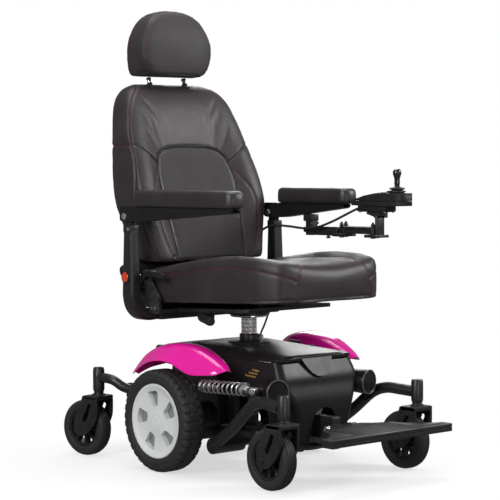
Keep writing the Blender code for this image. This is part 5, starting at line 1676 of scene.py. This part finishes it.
def armrests():
    reaches = {"left": (-179, -206, 117), "right": (-332, -347, 112)}
    for label, side in SIDES:
        bar_front, pad_front, pad_rear = reaches[label]
        piece(f"armrest_stand_{label}", mirrored(armrest_post(), side), "frame_black", "seat",
              f"armrest_post_{label}", 1.0)
        body = f"armrest_{label}"
        piece(f"armrest_channel_{label}", mirrored(armrest_bar(bar_front), side), "satin_black", body,
              f"armrest_bar_{label}", 1.4)
        ends = []
        for s in (1, -1):
            spot = Vector((ARMREST_X + s * 18.5, ARMREST_PIVOT.y, ARMREST_PIVOT.z))
            ends.append(rod(spot, spot + Vector((s * 2, 0, 0)), 10.5, 32, 0.4))
            ends.append(rod(spot, spot + Vector((s * 5, 0, 0)), 7.5, 6, 0.8))
        piece(f"armrest_bolt_{label}", mirrored(merged(*ends), side), "chrome", body, ())
        stop = rod((ARMREST_X + 15, 143, 716), (ARMREST_X + 19, 143, 716), 6, 6, 0.8)
        piece(f"armrest_stop_{label}", mirrored(stop, side), "chrome", "seat", ())
        pad = piece(f"armrest_pad_{label}", mirrored(arm_pad(pad_front, pad_rear), side), "arm_foam", body,
                    f"arm_pad_{label}", flat_angle=60)
        centre = (ARMREST_X + 18.6, ARMREST_Y + 4, 571)
        lens = turned([(0, 0.5), (15, 0.5), (15, 3.6), (12.6, 5.4), (7, 6.3), (0, 6.6)], centre,
                      (1, 0, 0), 48)
        piece(f"reflector_lens_{label}", mirrored(lens, side), "reflector", "seat",
              f"reflector_{label}")
        rim = turned([(15.1, 0), (17.6, 0), (17.6, 3.2), (16.6, 4.6), (15.1, 4.6)], centre, (1, 0, 0), 48)
        piece(f"reflector_rim_{label}", mirrored(rim, side), "moulded_black", "seat", ())


# ---------------------------------------------------------------- controller
LINK_OUTER = Vector((309, -160.0, 694.3))
LINK_INNER = LINK_OUTER + Vector((-36, -18.0, 0))
LINK_LENGTH, LINK_HEIGHT = 135.0, 22.0
LINK_REACH = Vector((0, LINK_LENGTH, 0))


def swing_pins(corners):
    """Upright pins with a flanged foot, a washer and a pointed cap."""
    pins = []
    foot = LINK_OUTER.z + LINK_HEIGHT + 0.6
    for spot in corners:
        pins.append(turned([(0, 681), (6.5, 681), (8, 683), (8, 686), (4.5, 686), (4.5, foot), (8.2, foot),
                            (8.2, foot + 1.6), (5.6, foot + 2.2), (6.6, foot + 4), (6.2, foot + 6),
                            (4, foot + 10), (1.6, foot + 14), (0, foot + 15)],
                           (spot.x, spot.y, 0), (0, 0, 1), 28))
    return pins


def swing_link(corner):
    """Deep link with rounded ends and a relief along its flank."""
    far = corner - LINK_REACH
    ends = [(corner.x + 7 * math.cos(a), corner.y + 7 * math.sin(a))
            for a in (math.pi * k / 12 for k in range(13))]
    ends += [(far.x + 7 * math.cos(a), far.y + 7 * math.sin(a))
             for a in (math.pi * (1 + k / 12) for k in range(13))]
    bar = prism(ends, corner.z, corner.z + LINK_HEIGHT)
    reliefs = [box((corner.x + s * 5.4, far.y + 14, corner.z + 6),
                   (corner.x + s * 9, corner.y - 14, corner.z + LINK_HEIGHT - 6)) for s in (1, -1)]
    holes = [rod((p.x, p.y, corner.z - 5), (p.x, p.y, corner.z + LINK_HEIGHT + 5), 4.8, 28)
             for p in (corner, far)]
    return cut(bar, *reliefs, *holes)


def controller_mount():
    hanger = box((278, -40, 684), (304, -8, 740), 4, 3)
    neck = box((276, -42, 728), (306, 0, 750), 3)
    plate = box((260, -192, 684), (322, -146, 693), 2.5, 3)
    rail = box((280, -150, 685), (302, -36, 713), 3, 3)
    knob = merged(rod((291, -100, 676), (291, -100, 682), 7, 10, 1),
                  rod((291, -100, 680), (291, -100, 690), 4, 16))
    clamps = [rod((272, y, z), (310, y, z), 4.5, 6, 0.6) for y, z in ((-34, 722), (-10, 698))]
    return merged(hanger, neck, plate, rail, knob, *clamps, *swing_pins((LINK_OUTER, LINK_INNER)))


def controller_bracket():
    plate = box((262, -336, 684), (320, -284, 693), 2.5, 3)
    strap = box((266, -336, 690), (300, -327, 752), 2)
    shelf = prism([(-336, 744), (-290, 756), (-290, 761.7), (-336, 761.7)], 268, 314, "x")
    gusset = prism([(-328, 735), (-328, 750), (-306, 752)], 276, 290, "x")
    pins = swing_pins((LINK_OUTER - LINK_REACH, LINK_INNER - LINK_REACH))
    return merged(plate, strap, shelf, gusset, *pins)


def controller_housing():
    """Joystick box: a wedge that thins to the rear, over a shallow electronics belly."""
    side_view = fillet([(-447, 795), (-444, 812), (-434, 820), (-338, 820), (-286, 812), (-232, 798),
                        (-219, 789), (-221, 781), (-434, 781), (-444, 786)], 7, 4)
    plan = [(309, -219), (318, -248), (323, -330), (324, -400), (319, -430), (305, -444), (291, -448)]
    plan = smooth([Vector((x, y, 0)) for x, y in plan], 4)
    plan = [(p.x, p.y) for p in plan]
    plan = plan + [(2 * 291 - x, y) for x, y in reversed(plan[:-1])]
    top = kept(prism(side_view, 250, 332, "x"), prism(plan, 770, 830))
    split = prism([(x * 1.01 - 291 * 0.01, y) for x, y in plan], 795.2, 796.4)
    belly = box((266, -371, 762), (316, -252, 790), 5, 3)
    seat_ball = rod((STICK.x, STICK.y, 805), (STICK.x, STICK.y, 840), 20.5, 48)
    key_well = box((272.5, -361.5, 816), (287.5, -346.5, 826))
    dial_well = rod((303, -354, 816.5), (303, -354, 826), 9.5, 32)
    return merged(cut(top, split, seat_ball, key_well, dial_well), belly)


def bellows():
    """Two-ringed rubber boot round the stick, from the housing up to the grip."""
    profile = [(0, 2), (21, 2), (21.5, 4), (25.5, 6), (26, 8), (25, 10), (18, 11), (17, 12.4), (22, 14),
               (24, 16), (23.4, 18), (19, 19.4), (12, 20.6), (8, 23), (6, 25), (0, 25)]
    return turned(profile, STICK, (0, 0, 1), 56)


def grip():
    profile = [(0, -3), (3.5, -3), (3.5, 22), (7.4, 24), (8.2, 28), (8.6, 33), (8.2, 40), (8.6, 47),
               (10.4, 53), (12.4, 58), (13.2, 63), (12.6, 68), (10.6, 72), (7.4, 74.8), (3.6, 76), (0, 76.2)]
    return turned(profile, STICK, (0, 0, 1), 48)


def controller():
    piece("mount_clamp", controller_mount(), "frame_black", "armrest_left", "controller_mount",
          0.6)
    for key, corner in (("outer", LINK_OUTER), ("inner", LINK_INNER)):
        piece(f"link_{key}", swing_link(corner), "frame_black", f"swing_link_{key}",
              f"swing_link_{key}", 0.8)
    piece("joystick_bracket", controller_bracket(), "frame_black", "controller", "controller_bracket",
          0.6)
    piece("joystick_case", controller_housing(), "moulded_black", "controller", "controller_housing",
          1.6, flat_angle=28)
    piece("joystick_boot", bellows(), "rubber_boot", "joystick_gimbal", "joystick_gimbal",
          flat_angle=50)
    piece("joystick_grip", grip(), "gloss_black", "joystick", "joystick_handle",
          flat_angle=50)
    ridges = [rod((303 + 9 * math.cos(a), -354 + 9 * math.sin(a), 817.4),
                  (303 + 8.4 * math.cos(a), -354 + 8.4 * math.sin(a), 825), 0.9, 6)
              for a in (2 * math.pi * k / 16 for k in range(16))]
    dial = turned([(0, 816.9), (9, 816.9), (9, 818.6), (8.2, 825), (7.4, 826), (0, 826)],
                  (303, -354, 0), (0, 0, 1), 40)
    piece("speed_knob", merged(dial, *ridges), "grey_plastic", "speed_dial", "speed_dial")
    lamps = [box((276 + 6 * k, -331.4, 819.6), (280 + 6 * k, -328.6, 820.8), 0.3, 1) for k in range(5)]
    piece("charge_lamps", merged(*lamps), "lamp_green", "controller", ())
    connector = merged(rod((291, -260, 771), (291, -236, 769), 9, 28, 1),
                       rod((291, -238, 769), (290.4, -229, 769), 5.5, 20, 0.6))
    piece("lead_connector", connector, "moulded_black", "controller", (), 0.4)
    feet = [rod((x, y, 759.6), (x, y, 763), 3.6, 12, 0.4)
            for x in (273, 309) for y in (-363, -260)]
    piece("case_screws", merged(*feet), "chrome", "controller", ())


# ---------------------------------------------------------------- leads
LEAD = [(291, -251, 771), (290, -230, 770), (281, -204, 758), (271, -174, 743), (263, -140, 728),
        (263, -80, 711), (264, -20, 706), (265, 60, 711), (265, 130, 711), (263, 180, 694),
        (258, 208, 650), (254, 220, 590), (252, 217, 535), (248, 207, 480), (200, 198, 458),
        (152, 184, 456), (150, 170.7, 456)]
SEAT_LEAD = [(114, -20, 466.7), (113, -20, 456), (90, -24, 415), (77, -22, 390), (73, -20, 371.5)]


def lead(name, route, diameter, spans, node):
    """A lead in lengths, each on one body or, between two bodies, left on none; spans give the route's
    points where a length ends and the body, or the pair of bodies it runs between."""
    steps = 8
    path = smooth(route, steps)
    first = 0
    for index, (last, bodies) in enumerate(spans):
        part = path[first * steps:last * steps + 1]
        bm = sweep(part, circle(diameter / 2, 16), side=(0.2, 0.1, 1))
        single = isinstance(bodies, str)
        obj = piece(f"{name}_{index + 1}", bm, "cable_black", bodies if single else None, node,
                    flat_angle=60)
        if not single:
            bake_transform(obj)
        first = last


def leads():
    lead("joystick_lead", LEAD, 7.5,
         [(1, "controller"), (3, ("controller", "swing_link_outer")),
          (5, ("swing_link_outer", "armrest_left")), (8, "armrest_left"),
          (10, ("armrest_left", "seat")), (16, "seat")], "controller_cable")
    lead("base_lead", SEAT_LEAD, 6, [(1, "seat"), (2, ("seat", "seat_lift")),
                                     (4, ("seat_lift", "base"))], "seat_cable")
    ties = [((264, -20, 706), "armrest_left"), ((265, 100, 711), "armrest_left"),
            ((256, 214, 620), "seat"), ((252, 218, 560), "seat")]
    for index, (spot, body) in enumerate(ties):
        upright = body == "seat"
        axis = (0, 0.1, -1) if upright else (0, 1, 0)
        band = turned([(3.9, -2), (5.1, -2), (5.1, 2), (3.9, 2)], spot, axis, 20)
        piece(f"cable_tie_{index + 1}", band, "moulded_black", body, ())


camera()
studio()
dress_all()
drive_wheels()
gearmotors()
casters()
suspension()
fenders()
bodywork()
pedestal()
footrest()
seat_details()
backrest_back()
headrest_mount()
armrests()
controller()
leads()
backrest_cushion()
headrest_cushion()
seat_cushion()
